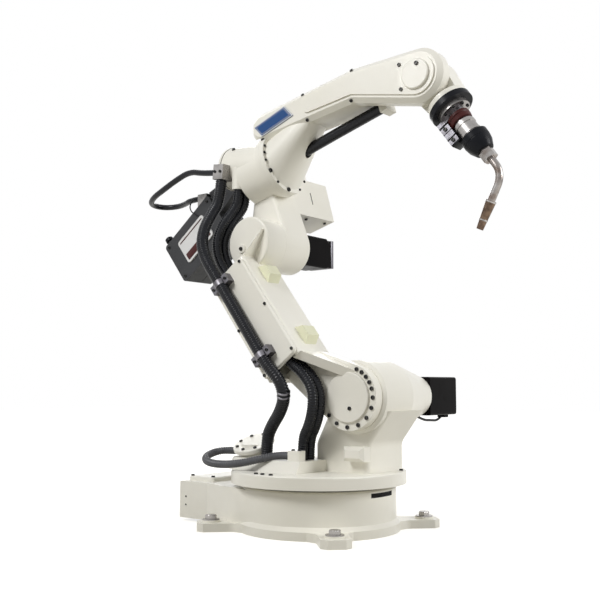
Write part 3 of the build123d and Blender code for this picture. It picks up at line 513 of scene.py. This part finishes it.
def geometry_tree(name, inputs):
    """Empty geometry tree with a Geometry in and out and named inputs."""
    tree = bpy.data.node_groups.new(name, "GeometryNodeTree")
    socket(tree, "Geometry", "NodeSocketGeometry")
    for label, kind, default in inputs:
        socket(tree, label, kind, default)
    socket(tree, "Geometry", "NodeSocketGeometry", output=True)
    return tree


def ribbed_hose_tree():
    """A curve becomes a hose whose radius steps in and out along it."""
    tree = bpy.data.node_groups.get("ribbed_hose")
    if tree:
        return tree
    tree = geometry_tree("ribbed_hose", [
        ("Radius", "NodeSocketFloat", 0.015), ("Rib Pitch", "NodeSocketFloat", 0.008),
        ("Rib Depth", "NodeSocketFloat", 0.002), ("Sides", "NodeSocketInt", 20),
        ("Material", "NodeSocketMaterial", None)])
    given = tree.nodes.new("NodeGroupInput").outputs
    step = put(tree, "ShaderNodeMath", {0: given["Rib Pitch"], 1: 4.0}, operation="DIVIDE")
    even = put(tree, "GeometryNodeResampleCurve", {
        "Curve": given["Geometry"], "Length": step.outputs[0]}, mode="LENGTH")
    index = tree.nodes.new("GeometryNodeInputIndex").outputs["Index"]
    quarter = put(tree, "ShaderNodeMath", {
        0: index, 1: math.pi / 2, 2: math.pi / 4}, operation="MULTIPLY_ADD")
    wave = put(tree, "ShaderNodeMath", {0: quarter.outputs[0]}, operation="SINE")
    share = put(tree, "ShaderNodeMath", {0: wave.outputs[0], 1: 0.7071, 2: -0.5}, operation="MULTIPLY_ADD")
    radius = put(tree, "ShaderNodeMath", {
        0: share.outputs[0], 1: given["Rib Depth"], 2: given["Radius"]}, operation="MULTIPLY_ADD")
    ring = put(tree, "GeometryNodeCurvePrimitiveCircle", {"Resolution": given["Sides"], "Radius": 1.0})
    hose = put(tree, "GeometryNodeCurveToMesh", {
        "Curve": even.outputs["Curve"], "Profile Curve": ring.outputs["Curve"], "Scale": radius.outputs[0],
        "Fill Caps": True})
    whole = put(tree, "GeometryNodeRealizeInstances", {"Geometry": hose.outputs["Mesh"]})
    done = put(tree, "GeometryNodeSetMaterial", {
        "Geometry": whole.outputs["Geometry"], "Material": given["Material"]})
    put(tree, "NodeGroupOutput", {"Geometry": done.outputs["Geometry"]})
    return tree


def screw_tree():
    """A head stands on each point, along the point's own direction and at its own size."""
    tree = bpy.data.node_groups.get("screw_heads")
    if tree:
        return tree
    tree = geometry_tree("screw_heads", [
        ("Head", "NodeSocketObject", None), ("Material", "NodeSocketMaterial", None)])
    given = tree.nodes.new("NodeGroupInput").outputs
    way = put(tree, "GeometryNodeInputNamedAttribute", {"Name": "way"}, data_type="FLOAT_VECTOR")
    size = put(tree, "GeometryNodeInputNamedAttribute", {"Name": "head_size"}, data_type="FLOAT")
    turn = put(tree, "FunctionNodeAlignRotationToVector", {"Vector": way.outputs["Attribute"]}, axis="Z")
    head = put(tree, "GeometryNodeObjectInfo", {"Object": given["Head"]})
    placed = put(tree, "GeometryNodeInstanceOnPoints", {
        "Points": given["Geometry"], "Instance": head.outputs["Geometry"],
        "Rotation": turn.outputs["Rotation"], "Scale": size.outputs["Attribute"]})
    whole = put(tree, "GeometryNodeRealizeInstances", {"Geometry": placed.outputs["Instances"]})
    done = put(tree, "GeometryNodeSetMaterial", {
        "Geometry": whole.outputs["Geometry"], "Material": given["Material"]})
    put(tree, "NodeGroupOutput", {"Geometry": done.outputs["Geometry"]})
    return tree


def grown(source, tree, values):
    """Runs a geometry tree on an object and gives the result as a plain mesh; the object goes."""
    modifier = source.modifiers.new(tree.name, "NODES")
    modifier.node_group = tree
    for item in tree.interface.items_tree:
        if item.item_type == "SOCKET" and item.in_out == "INPUT" and item.name in values:
            modifier[item.identifier] = values[item.name]
    bpy.context.view_layer.update()
    graph = bpy.context.evaluated_depsgraph_get()
    mesh = bpy.data.meshes.new_from_object(source.evaluated_get(graph), depsgraph=graph)
    source.modifiers.remove(modifier)
    bpy.data.objects.remove(source)
    if not mesh.polygons:
        raise RuntimeError(f"{tree.name} made nothing")
    return mesh


def route_curve(name, routes):
    """Curve with one smooth spline for each route, its points taken as control points."""
    curve = bpy.data.curves.new(name, "CURVE")
    curve.dimensions = "3D"
    curve.resolution_u = 24
    for route in routes:
        spline = curve.splines.new("NURBS")
        spline.points.add(len(route) - 1)
        for point, spot in zip(spline.points, route):
            point.co = (*spot, 1)
        spline.order_u = 3
        spline.use_endpoint_u = True
    made = bpy.data.objects.new(name, curve)
    bpy.context.scene.collection.objects.link(made)
    return made


def spots_from(origin, offsets):
    """Places given in millimetres from an origin."""
    return [origin + Vector(offset) / 1000 for offset in offsets]


def hose_mesh(name, routes, radius, material, ribs=True):
    """Ribbed or plain hose along each route."""
    size = bpy.context.scene.robot_sizes
    mesh = grown(route_curve(name + "_line", routes), ribbed_hose_tree(), {
        "Radius": radius, "Rib Pitch": size.rib_pitch, "Rib Depth": size.rib_depth if ribs else 0.0,
        "Sides": size.hose_sides, "Material": finishes()[material]})
    mesh.name = name
    for face in mesh.polygons:
        face.use_smooth = True
    return mesh


def bent_piece(name, mesh, node=None):
    """Piece with its place baked into its mesh and no body to follow, in place of a node where there is one."""
    thing = bpy.data.objects.new(name, mesh)
    bpy.context.scene.collection.objects.link(thing)
    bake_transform(thing)
    if node:
        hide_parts(node)
    return thing


def crossing_hose(name, routes, radius, node):
    """Ribbed hose across a joint, in place of a node."""
    mesh = hose_mesh(name, routes, radius, "hose_black")
    return bent_piece(name, mesh, node)


def held_hose(name, route, radius, body, node=None, slot="hose_black", ribs=False):
    """Hose held by one body along its whole length, in place of a node where there is one."""
    mesh = hose_mesh(name, [route], radius, slot, ribs)
    return piece(name, mesh, body, None, [node] if node else ())


def ring_spots(middle, way, radius, count=0, start=0.0, head=1.0, turns=()):
    """Screw places on a circle round a line."""
    across = way.cross(LEFT) if abs(way.dot(LEFT)) < 0.9 else UP.copy()
    across.normalize()
    beside = way.cross(across)
    angles = turns or [start + 360 * i / count for i in range(count)]
    spots = []
    for angle in angles:
        turn = math.radians(angle)
        spots.append((middle + (across * math.cos(turn) + beside * math.sin(turn)) * radius, way, head))
    return spots


def screws(name, body, spots, material="screw_black", head=None):
    """One mesh of screw heads for a body, from (place, direction, share of the usual size)."""
    usual = bpy.context.scene.robot_sizes.screw
    cloud = bpy.data.meshes.new(name + "_places")
    cloud.from_pydata([spot[0] for spot in spots], [], [])
    ways = cloud.attributes.new("way", "FLOAT_VECTOR", "POINT")
    ways.data.foreach_set("vector", [value for spot in spots for value in spot[1].normalized()])
    sizes = cloud.attributes.new("head_size", "FLOAT", "POINT")
    sizes.data.foreach_set("value", [spot[2] * usual for spot in spots])
    holder = bpy.data.objects.new(name + "_places", cloud)
    bpy.context.scene.collection.objects.link(holder)
    pattern = head or cap_screw()
    bpy.context.scene.collection.objects.link(pattern)
    mesh = grown(holder, screw_tree(), {"Head": pattern, "Material": finishes()[material]})
    bpy.data.objects.remove(pattern)
    return piece(name, mesh, body, None)


# Operators

class ROBOT_OT_castings(bpy.types.Operator):
    """Give every CAD piece the finish of its slot"""

    bl_idname = "robot.castings"
    bl_label = "Paint the castings"

    def execute(self, context):
        made = finishes()
        closer = {"gooseneck": "neck_metal", "torch_nut": "neck_metal", "torch_mount": "mount_metal",
                  "hose_clamps": "mount_metal", "j3_motor_cap": "motor_black"}
        for row in frame["record"]["subparts"]:
            node = frame["nodes"][row["node"]]
            node.data.materials.clear()
            node.data.materials.append(made[closer.get(row["node"], row["material_slot"])])
        return {"FINISHED"}


class ROBOT_OT_hoses(bpy.types.Operator):
    """Lay the ribbed hoses and conduits along their routes"""

    bl_idname = "robot.hoses"
    bl_label = "Lay the hoses"

    def execute(self, context):
        size = context.scene.robot_sizes
        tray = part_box("cable_tray")[1].z
        low_clamp = arm_point(CLAMP_LOW, CLAMP_BACK, HOSE_Y)
        high_clamp = arm_point(CLAMP_HIGH, CLAMP_BACK, HOSE_Y)

        def pair(route):
            spread = LEFT * (size.conduit_radius + CONDUIT_GAP)
            return [[point - spread for point in route], [point + spread for point in route]]

        foot = Vector((-0.104, -0.124, tray))
        lower = [foot, foot + UP * FOOT_RUN, *spots_from(SHOULDER, (
            (-248, -140, -84), (-200, -162, -46), (-162, -186, 0), (-166, -205, 50))),
            arm_point(CLAMP_LOW - HOSE_RUN, CLAMP_BACK, HOSE_Y), low_clamp]
        crossing_hose("arm_hose_lower", [lower], size.hose_radius,
                      "hose_lower")

        tie = SHOULDER + Vector((-0.1672, -0.1854, 0.0005))
        tie_way = Vector((0.31, -0.39, 0.87)).normalized()
        # Pale plated metal on the black cable ties: a painted glint.
        for name, along in (("hose_tie", 0.0), ("hose_tie_upper", 0.014)):
            strap = eased_ring(name, 0.0186, 0.0202, 0.006, tie + tie_way * along, tie_way, 28)
            strap.materials.append(finishes()["mount_metal"])
            bent_piece(name, strap)
        band = 0.020
        for name, place in (("hose_band_low", low_clamp), ("hose_band_high", high_clamp)):
            strap = eased_ring(name, 0.0188, 0.0206, band, place - ARM_WAY * band / 2, ARM_WAY, 32)
            piece(name, strap, "upper_arm", "mount_metal")

        middle = [low_clamp, low_clamp.lerp(high_clamp, 0.5), high_clamp]
        held_hose("arm_hose_middle", middle, size.hose_radius, "upper_arm", "hose_mid", ribs=True)

        upper = [high_clamp, arm_point(CLAMP_HIGH + HOSE_RUN, CLAMP_BACK, HOSE_Y), *spots_from(ELBOW, (
            (-98, -207, -58), (-130, -197, -6), (-142, -176, 50), (-140, -142, 104))),
            barrel_point(0.022, -0.126, -0.104), barrel_point(0.022, -0.052, -0.104)]
        crossing_hose("arm_hose_upper", [upper], size.hose_radius,
                      "hose_upper")

        rise = Vector((0.020, -0.088, tray))
        low_pair = [rise, rise + UP * FOOT_RUN, *spots_from(SHOULDER, (
            (-122, -108, -88), (-86, -133, -36), (-82, -139, 24), (-120, -139, 72), (-173, -139, 107))),
            arm_point(0.250, 0.078, CONDUIT_Y)]
        crossing_hose("conduits_lower", pair(low_pair), size.conduit_radius,
                      "conduit_lower")

        mouth = ELBOW + Vector((-0.086, -0.056, 0.190))
        high_pair = [arm_point(0.395, 0.104, CONDUIT_Y), *spots_from(ELBOW, (
            (-2, -127, -173), (-54, -131, -110), (-96, -134, -58), (-116, -130, 4), (-110, -108, 66),
            (-92, -74, 116))), mouth - UP * HOSE_RUN, mouth]
        crossing_hose("conduits_upper", pair(high_pair), size.conduit_radius,
                      "conduit_upper")

        loop = [barrel_point(0, -0.027, -0.108), barrel_point(-0.060, -0.027, -0.108), *spots_from(ELBOW, (
            (-280, -106, 274), (-350, -102, 256), (-420, -97, 232), (-490, -84, 213), (-543, -46, 202),
            (-538, 10, 199), (-490, 36, 200), (-430, 22, 202), (-385, 0, 204.5), (-334, 0, 204.5)))]
        held_hose("feeder_loop", loop, size.loop_radius, "elbow", "hose_loop")

        thread = spots_from(ELBOW, (
            (-345, -16, 203), (-362, -17, 196), (-371, -18, 174), (-354, -18, 151), (-324, -17, 137)))
        held_hose("feeder_wire", thread, size.wire_radius, "elbow")

        dish = spots_from(UP * tray, (
            (-225, -92, 15), (-284, -92, 15), (-318, -122, 12), (-312, -180, -2), (-262, -222, -14),
            (-192, -228, -17), (-126, -216, -10), (-72, -186, 4), (-32, -154, 15), (9, -154, 15)))
        held_hose("dish_conduit", dish, size.dish_radius, "swivel", "dish_loop", "hose_grey", ribs=True)

        lead_start = 0.1043
        lead_step = 0.4162 / 5
        sag = ((0, 0), (0, 0.001), (0.001, 0.002), (0.005, 0.005), (0.009, 0.007), (0.009, 0.007))
        lead = [forearm_point(lead_start + i * lead_step, up, y) for i, (y, up) in enumerate(sag)]
        held_hose("torch_lead", lead, size.lead_radius, "forearm", "torch_cable")

        wire = spots_from(SHOULDER, (
            (0, 438, -68), (0, 414, -82), (0, 372, -80), (0, 320, -78), (0, 262, -58)))
        held_hose("motor_lead", wire, size.motor_lead_radius, "swivel")
        return {"FINISHED"}


class ROBOT_OT_screws(bpy.types.Operator):
    """Set the screws and bolts on every body"""

    bl_idname = "robot.screws"
    bl_label = "Set the screws"

    def execute(self, context):
        size = context.scene.robot_sizes
        near = -LEFT
        foot_top = 0.031
        spread = 0.2325
        feet = [(Vector((x * spread, y * spread, foot_top)), UP, size.floor_bolt / size.screw)
                for x in (-1, 1) for y in (-1, 1)]
        screws("floor_bolts", "base", feet, material="bare_metal", head=hexagon_bolt())

        low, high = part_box("connector_lid")
        inset = 0.010
        lid = [(Vector((low.x + share * (high.x - low.x), y, high.z)), UP, 1.0)
               for share in (0.09, 0.91) for y in (low.y + inset, high.y - inset)]
        box_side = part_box("connector_box")[0].y
        lid += [(Vector((-0.425, box_side, z)), near, 0.42) for z in (0.052, 0.078)]
        screws("box_screws", "base", lid)

        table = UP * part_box("turntable")[1].z
        swivel = ring_spots(table, UP, 0.254, turns=(36, 82, 88, 95, -12, -40, -75, 205))
        dish_tilt = math.radians(24)
        dish_way = Vector((0, -math.sin(dish_tilt), math.cos(dish_tilt)))
        dish_top = Vector((-0.185, -0.092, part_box("cable_tray")[1].z + 0.038)) + dish_way * 0.007
        swivel += ring_spots(dish_top, dish_way, 0.052, 8, head=0.9)
        low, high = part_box("cable_grip")
        swivel += [(Vector((x, (low.y + high.y) / 2, high.z)), UP, 0.9)
                   for x in (low.x + inset, high.x - inset)]
        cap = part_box("j2_motor_cap")[1].y
        swivel += [(SHOULDER + Vector((x, cap, z)), LEFT, 0.6)
                   for x in (-0.034, 0.034) for z in (-0.034, 0.034)]
        screws("swivel_screws", "swivel", swivel)

        hub_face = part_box("shoulder_housing")[0].y - 0.032
        arm = ring_spots(SHOULDER + LEFT * hub_face, near, 0.0862, turns=(
            -21, -34, -47, -60, -73, -90, -110, -132, -156, 178, 152, 128))
        arm.append((SHOULDER + Vector((0.010, hub_face - 0.008, -0.032)), near, 0.9))
        cover_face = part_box("arm_cover")[0].y
        arm += [(arm_point(along, back, cover_face), near, 0.8)
                for along in (0.194, 0.366, 0.538) for back in (0.020, 0.150)]
        clamp_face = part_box("hose_clamps")[0].y
        arm += [(arm_point(along, CLAMP_BACK + side, clamp_face), near, 0.8)
                for along in (CLAMP_LOW, CLAMP_HIGH) for side in (-0.029, 0.029)]
        arm.append((ELBOW + Vector((-0.027, -0.1225, -0.0175)), near, 1.0))
        screws("arm_screws", "upper_arm", arm)

        elbow = ring_spots(barrel_point(-0.012, 0, BARREL_Y), -BARREL_WAY, 0.060, 8, start=22.5, head=0.95)
        for along, angle in ((0.123, -25), (0.059, -49), (0.028, 52)):
            turn = math.radians(angle)
            out = BARREL_UP * math.sin(turn) - LEFT * math.cos(turn)
            elbow.append((barrel_point(along, 0, BARREL_Y) + out * BARREL_RADIUS, out, 1.0))
        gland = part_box("hose_gland")[0].y
        elbow += [(barrel_point(along, -0.027, gland), near, 0.8) for along in (0.010, 0.034)]
        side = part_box("elbow_side_cover")[1].y
        elbow += [(forearm_point(along, up, side), LEFT, 0.9)
                  for along in (-0.044, 0.032) for up in (-0.110, -0.006)]
        elbow += [(forearm_point(0.028, -0.128, y), -FOREARM_UP, 0.9) for y in (0.140, 0.185, 0.290)]
        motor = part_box("j3_motor_cap")[1].y
        elbow += [(ELBOW + Vector((x, motor, z)), LEFT, 0.7)
                  for x in (-0.040, 0.040) for z in (-0.040, 0.040)]
        screws("elbow_screws", "elbow", elbow)

        skirt = forearm_point(0.1243, 0, 0)
        fore = ring_spots(skirt, FOREARM_WAY, 0.098, head=0.7, turns=(62, 78, 94, 142, -60, -90, -120, -150))
        fore += ring_spots(skirt, FOREARM_WAY, 0.097, head=1.15, turns=(116, 172))
        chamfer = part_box("forearm_beam")[0].y + 0.007
        fore += [(forearm_point(along, up, chamfer), near - FOREARM_UP, 0.9)
                 for along, up in ((0.112, 0.078), (0.297, 0.057), (0.466, 0.038))]
        fore += [(forearm_point(along, up, chamfer), near + FOREARM_UP, 0.9)
                 for along, up in ((0.302, 0.141), (0.493, 0.125))]
        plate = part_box("forearm_cover")[0].y
        fore += [(forearm_point(along, up, plate), near, 0.9)
                 for along, up in ((0.655, 0.052), (0.640, -0.020))]
        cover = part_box("wrist_cover")[0].y
        fore.append((WRIST + Vector((0.008, cover, 0.028)), near, 1.0))
        screws("forearm_screws", "forearm", fore)

        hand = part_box("wrist_casting")[1].y
        screws("wrist_screws", "wrist", ring_spots(WRIST + LEFT * hand, LEFT, 0.044, 6, head=0.8))
        flange = tool_point(0.1363, 0, 0)
        screws("flange_screws", "tool", ring_spots(flange, TOOL_WAY, 0.040, 8, start=22.5, head=0.75))
        return {"FINISHED"}


class ROBOT_OT_panels(bpy.types.Operator):
    """Add the plain panels, bands and seals on the forearm, elbow and feeder"""

    bl_idname = "robot.panels"
    bl_label = "Add panels and seals"

    def execute(self, context):
        corners = ((0.094, 0.126), (0.230, 0.137), (0.254, 0.092), (0.118, 0.083))
        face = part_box("name_panel")[0].y
        first, second, third, fourth = [forearm_point(along, up, face) for along, up in corners]
        layers = (("panel_edge", 0.0, "panel_white"), ("panel_field", 0.0032, "panel_blue"),
                  ("panel_line", 0.0066, "panel_white"), ("panel_middle", 0.0078, "panel_blue"))
        layer = LEFT * -0.0005
        for level, (name, inset, slot) in enumerate(layers):
            along = inset / (second - first).length
            down = inset / (fourth - first).length
            outline = [first.lerp(second, a).lerp(fourth.lerp(third, a), d) for a, d in (
                (along, down), (1 - along, down), (1 - along, 1 - down), (along, 1 - down))]
            piece(name, prism(name, outline, layer * (level + 1)), "forearm", slot)

        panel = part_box("feeder_panel")[0].y
        half = 0.066
        for name, low, high in (("feeder_band", -0.040, -0.014), ("feeder_strip", 0.034, 0.038)):
            outline = [feeder_point(along, up, panel) for along, up in (
                (-half, low), (half, low), (half, high), (-half, high))]
            piece(name, prism(name, outline, LEFT * -0.0012, 0.0004), "elbow", "band_red")
        knob = lathe("feeder_knob", [
            (-0.002, 0.010), (0.010, 0.010), (0.012, 0.015), (0.024, 0.015), (0.027, 0.012)],
            feeder_point(-0.112, FEEDER_HALF_HIGH, 0.003), FEEDER_UP)
        piece("feeder_knob", knob, "elbow", "ring_black")

        proud = 1.004
        seam = [feeder_point(along * FEEDER_HALF_LONG * proud, up * FEEDER_HALF_HIGH * proud, 0.060)
                for along, up in ((-0.88, -1), (0.88, -1), (1, -0.82), (1, 0.82), (0.88, 1), (-0.88, 1),
                                  (-1, 0.82), (-1, -0.82))]
        piece("feeder_seam", prism("feeder_seam", seam, LEFT * 0.002), "elbow", "gasket")
        corners = [(feeder_point(along, up, y), way, 0.8)
                   for along in (-0.118, 0.118) for up in (-0.069, 0.069) for y, way in FEEDER_SIDES]
        screws("feeder_screws", "elbow", corners)

        # Dark slab in the slot on the drum wall: painted shade of its hollow.
        drum = 0.2365
        bows = [math.radians(angle) for angle in range(-13, 14, 2)]
        rim = [Vector((drum * math.cos(bow), drum * math.sin(bow), 0.112)) for bow in bows]
        rim += [Vector((spot.x * 0.97, spot.y * 0.97, spot.z)) for spot in reversed(rim)]
        piece("drum_window", prism("drum_window", rim, UP * 0.013), "base", "gasket")

        low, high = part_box("j3_motor_cap")
        collar = box_piece("motor_collar", (low + high) / 2 + LEFT * 0.014, (0.0968, 0.0968, 0.014),
                           (Vector((1, 0, 0)), UP, LEFT), 0.0015)
        piece("motor_collar", collar, "elbow", "mount_metal")
        slit = box_piece("side_slit", forearm_point(0.050, -0.056, 0.214), (0.0012, 0.044, 0.0035),
                         (FOREARM_WAY, FOREARM_UP, LEFT), 0.0003)
        piece("side_slit", slit, "elbow", "gasket")
        boss = lathe("elbow_boss", [(-0.001, 0.015), (0.003, 0.015), (0.0045, 0.0135)],
                     ELBOW + Vector((-0.027, -0.118, -0.0175)), -LEFT)
        piece("elbow_boss", boss, "upper_arm", "cream_paint")

        wide = 0.0026
        lip = BARREL_RADIUS + 0.0006
        rear = barrel_point(-wide / 2, 0, BARREL_Y)
        seal = lathe("barrel_seal", [(0, lip), (wide, lip)], rear, BARREL_WAY, 48)
        piece("barrel_seal", seal, "elbow", "gasket")
        return {"FINISHED"}


class ROBOT_OT_torch(bpy.types.Operator):
    """Add the rings and boot of the torch"""

    bl_idname = "robot.torch"
    bl_label = "Add torch details"

    def execute(self, context):
        boot = lathe("torch_boot", [
            (0.0, 0.0292), (0.001, 0.0335), (0.008, 0.0345), (0.011, 0.0318), (0.014, 0.0345),
            (0.024, 0.0325), (0.025, 0.0292)], tool_point(0.1490, 0, 0), TOOL_WAY, 40)
        piece("torch_boot", boot, "tool", "band_red")
        collars = (("torch_collar", 0.1823, 0.0322, 0.012), ("torch_collar_front", 0.2163, 0.0318, 0.009))
        for name, along, radius, width in collars:
            collar = eased_ring(name, 0.0298, radius, width, tool_point(along, 0, 0), TOOL_WAY, 40)
            piece(name, collar, "tool", "bare_metal")
        grip = lathe("torch_grip", [
            (0.2318, 0.0402), (0.2330, 0.0412), (0.2500, 0.0406), (0.2515, 0.0388), (0.2540, 0.0388),
            (0.2555, 0.0398), (0.2680, 0.0375), (0.2885, 0.0278), (0.2900, 0.0246)], WRIST, TOOL_WAY, 48)
        piece("torch_grip", grip, "tool", "ring_black")

        turn = (TOOL_WAY, TOOL_UP, LEFT)
        # Dark blocks in the gaps of the torch bracket: painted shade of its hollows.
        gaps = (("bracket_gap_low", 0.1520, 0.006), ("bracket_gap", 0.1745, 0.003),
                ("bracket_gap_high", 0.1960, 0.005))
        for name, along, wide in gaps:
            gap = box_piece(name, tool_point(along, BRACKET_UP, 0), (wide, 0.0308, 0.0468), turn, 0.0004)
            piece(name, gap, "tool", "gasket")
        shoe_middle = tool_point(0.2165, BRACKET_UP, 0)
        shoe = box_piece("bracket_shoe", shoe_middle, (0.008, 0.030, 0.046), turn, 0.002)
        piece("bracket_shoe", shoe, "tool", "ring_black")
        screws("bracket_screws", "tool", [
            (tool_point(along, BRACKET_UP, BRACKET_SIDE), -LEFT, 0.95) for along in (0.163, 0.205)])

        nozzle_way = TOOL_WAY * math.cos(NECK_BEND) - TOOL_UP * math.sin(NECK_BEND)
        nozzle = tool_point(NECK_BEND_AT, 0, 0) + nozzle_way * NECK_END
        for name, along, radius in (("nozzle_ring", 0.0005, 0.0156), ("nozzle_step", 0.054, 0.0126)):
            start = nozzle + nozzle_way * along
            ring = eased_ring(name, radius - 0.001, radius, 0.005, start, nozzle_way, 28)
            piece(name, ring, "tool", "bare_metal")
        return {"FINISHED"}


def direct_view(tree):
    """One for rays that show the background itself: to the camera, in metal or through glass."""
    path = tree.nodes.new("ShaderNodeLightPath").outputs
    shown = put(tree, "ShaderNodeMath", {
        0: path["Is Camera Ray"], 1: path["Is Glossy Ray"]}, operation="MAXIMUM")
    return put(tree, "ShaderNodeMath", {
        0: shown.outputs[0], 1: path["Is Transmission Ray"]}, operation="MAXIMUM").outputs[0]


class ROBOT_OT_stage(bpy.types.Operator):
    """Set the floor, the lights and the camera"""

    bl_idname = "robot.stage"
    bl_label = "Set the stage"

    def execute(self, context):
        scene = context.scene
        stage = scene.robot_stage
        paper = bpy.data.materials.new("studio_paper")
        paper.use_nodes = True
        tree = paper.node_tree
        shader = tree.nodes["Principled BSDF"]
        shader.inputs["Base Color"].default_value = stage.floor
        shader.inputs["Roughness"].default_value = 0.9
        shader.inputs["Emission Color"].default_value = (1, 1, 1, 1)
        place = put(tree, "ShaderNodeTexCoord").outputs["Object"]
        away = put(tree, "ShaderNodeVectorMath", {0: place}, operation="LENGTH")
        white = put(tree, "ShaderNodeMapRange", {
            "Value": away.outputs["Value"], "From Min": stage.shade_reach * 0.4,
            "From Max": stage.shade_reach, "To Min": stage.glow, "To Max": 1.0})
        glow = put(tree, "ShaderNodeMath", {
            0: direct_view(tree), 1: white.outputs["Result"]}, operation="MULTIPLY")
        tree.links.new(glow.outputs[0], shader.inputs["Emission Strength"])
        floor = bpy.data.meshes.new("studio_floor")
        reach = 12.0
        edge = [(-reach, -reach, 0), (reach, -reach, 0), (reach, reach, 0), (-reach, reach, 0)]
        floor.from_pydata(edge, [], [(0, 1, 2, 3)])
        floor.materials.append(paper)
        ground = bpy.data.objects.new("studio_floor", floor)
        scene.collection.objects.link(ground)

        world = bpy.data.worlds.new("studio_air")
        scene.world = world
        world.use_nodes = True
        air = world.node_tree.nodes["Background"]
        seen = put(world.node_tree, "ShaderNodeMapRange", {
            "Value": direct_view(world.node_tree), "To Min": stage.air, "To Max": 1.0})
        world.node_tree.links.new(seen.outputs["Result"], air.inputs["Strength"])
        air.inputs["Color"].default_value = (1, 1, 1, 1)

        def lamp(name, place, target, power, size):
            light = bpy.data.lights.new(name, "AREA")
            light.energy = power
            light.size = size
            holder = bpy.data.objects.new(name, light)
            holder.location = place
            holder.rotation_euler = (Vector(target) - Vector(place)).to_track_quat("-Z", "Y").to_euler()
            scene.collection.objects.link(holder)

        lamp("key_light", (-0.9, -3.2, 3.2), (0, 0, 0.6), stage.key, 1.5)
        lamp("fill_light", (3.6, 1.2, 2.2), (0, 0, 0.7), stage.fill, 1.8)
        lamp("back_light", (-2.6, 2.8, 2.6), (0, 0, 0.7), stage.back, 2.4)

        camera = bpy.data.cameras.new("photo_camera")
        camera.lens = stage.lens
        camera.sensor_width = 36
        holder = bpy.data.objects.new("photo_camera", camera)
        holder.location = CAMERA_PLACE
        holder.rotation_euler = (math.pi / 2 + stage.tilt, 0, stage.heading)
        scene.collection.objects.link(holder)
        scene.camera = holder
        scene.view_settings.view_transform = "Standard"
        return {"FINISHED"}


class ROBOT_PT_panel(bpy.types.Panel):
    """Sidebar list of the robot's build steps"""

    bl_idname = "ROBOT_PT_panel"
    bl_label = "Welding robot arm"
    bl_space_type = "VIEW_3D"
    bl_region_type = "UI"
    bl_category = "Robot"

    def draw(self, context):
        for step in STEPS:
            self.layout.operator(step.bl_idname)
        for group in (context.scene.robot_finish, context.scene.robot_sizes, context.scene.robot_stage):
            column = self.layout.column()
            for name in group.__annotations__:
                column.prop(group, name)


STEPS = (ROBOT_OT_castings, ROBOT_OT_hoses, ROBOT_OT_screws, ROBOT_OT_panels, ROBOT_OT_torch, ROBOT_OT_stage)
CLASSES = (RobotFinish, RobotSizes, RobotStage, *STEPS, ROBOT_PT_panel)


def register():
    for kind in CLASSES:
        bpy.utils.register_class(kind)
    bpy.types.Scene.robot_finish = PointerProperty(type=RobotFinish)
    bpy.types.Scene.robot_sizes = PointerProperty(type=RobotSizes)
    bpy.types.Scene.robot_stage = PointerProperty(type=RobotStage)


def unregister():
    del bpy.types.Scene.robot_stage
    del bpy.types.Scene.robot_sizes
    del bpy.types.Scene.robot_finish
    for kind in reversed(CLASSES):
        bpy.utils.unregister_class(kind)


def main():
    register()
    bpy.ops.robot.castings()
    bpy.ops.robot.hoses()
    bpy.ops.robot.screws()
    bpy.ops.robot.panels()
    bpy.ops.robot.torch()
    bpy.ops.robot.stage()


if __name__ == "__main__":
    main()
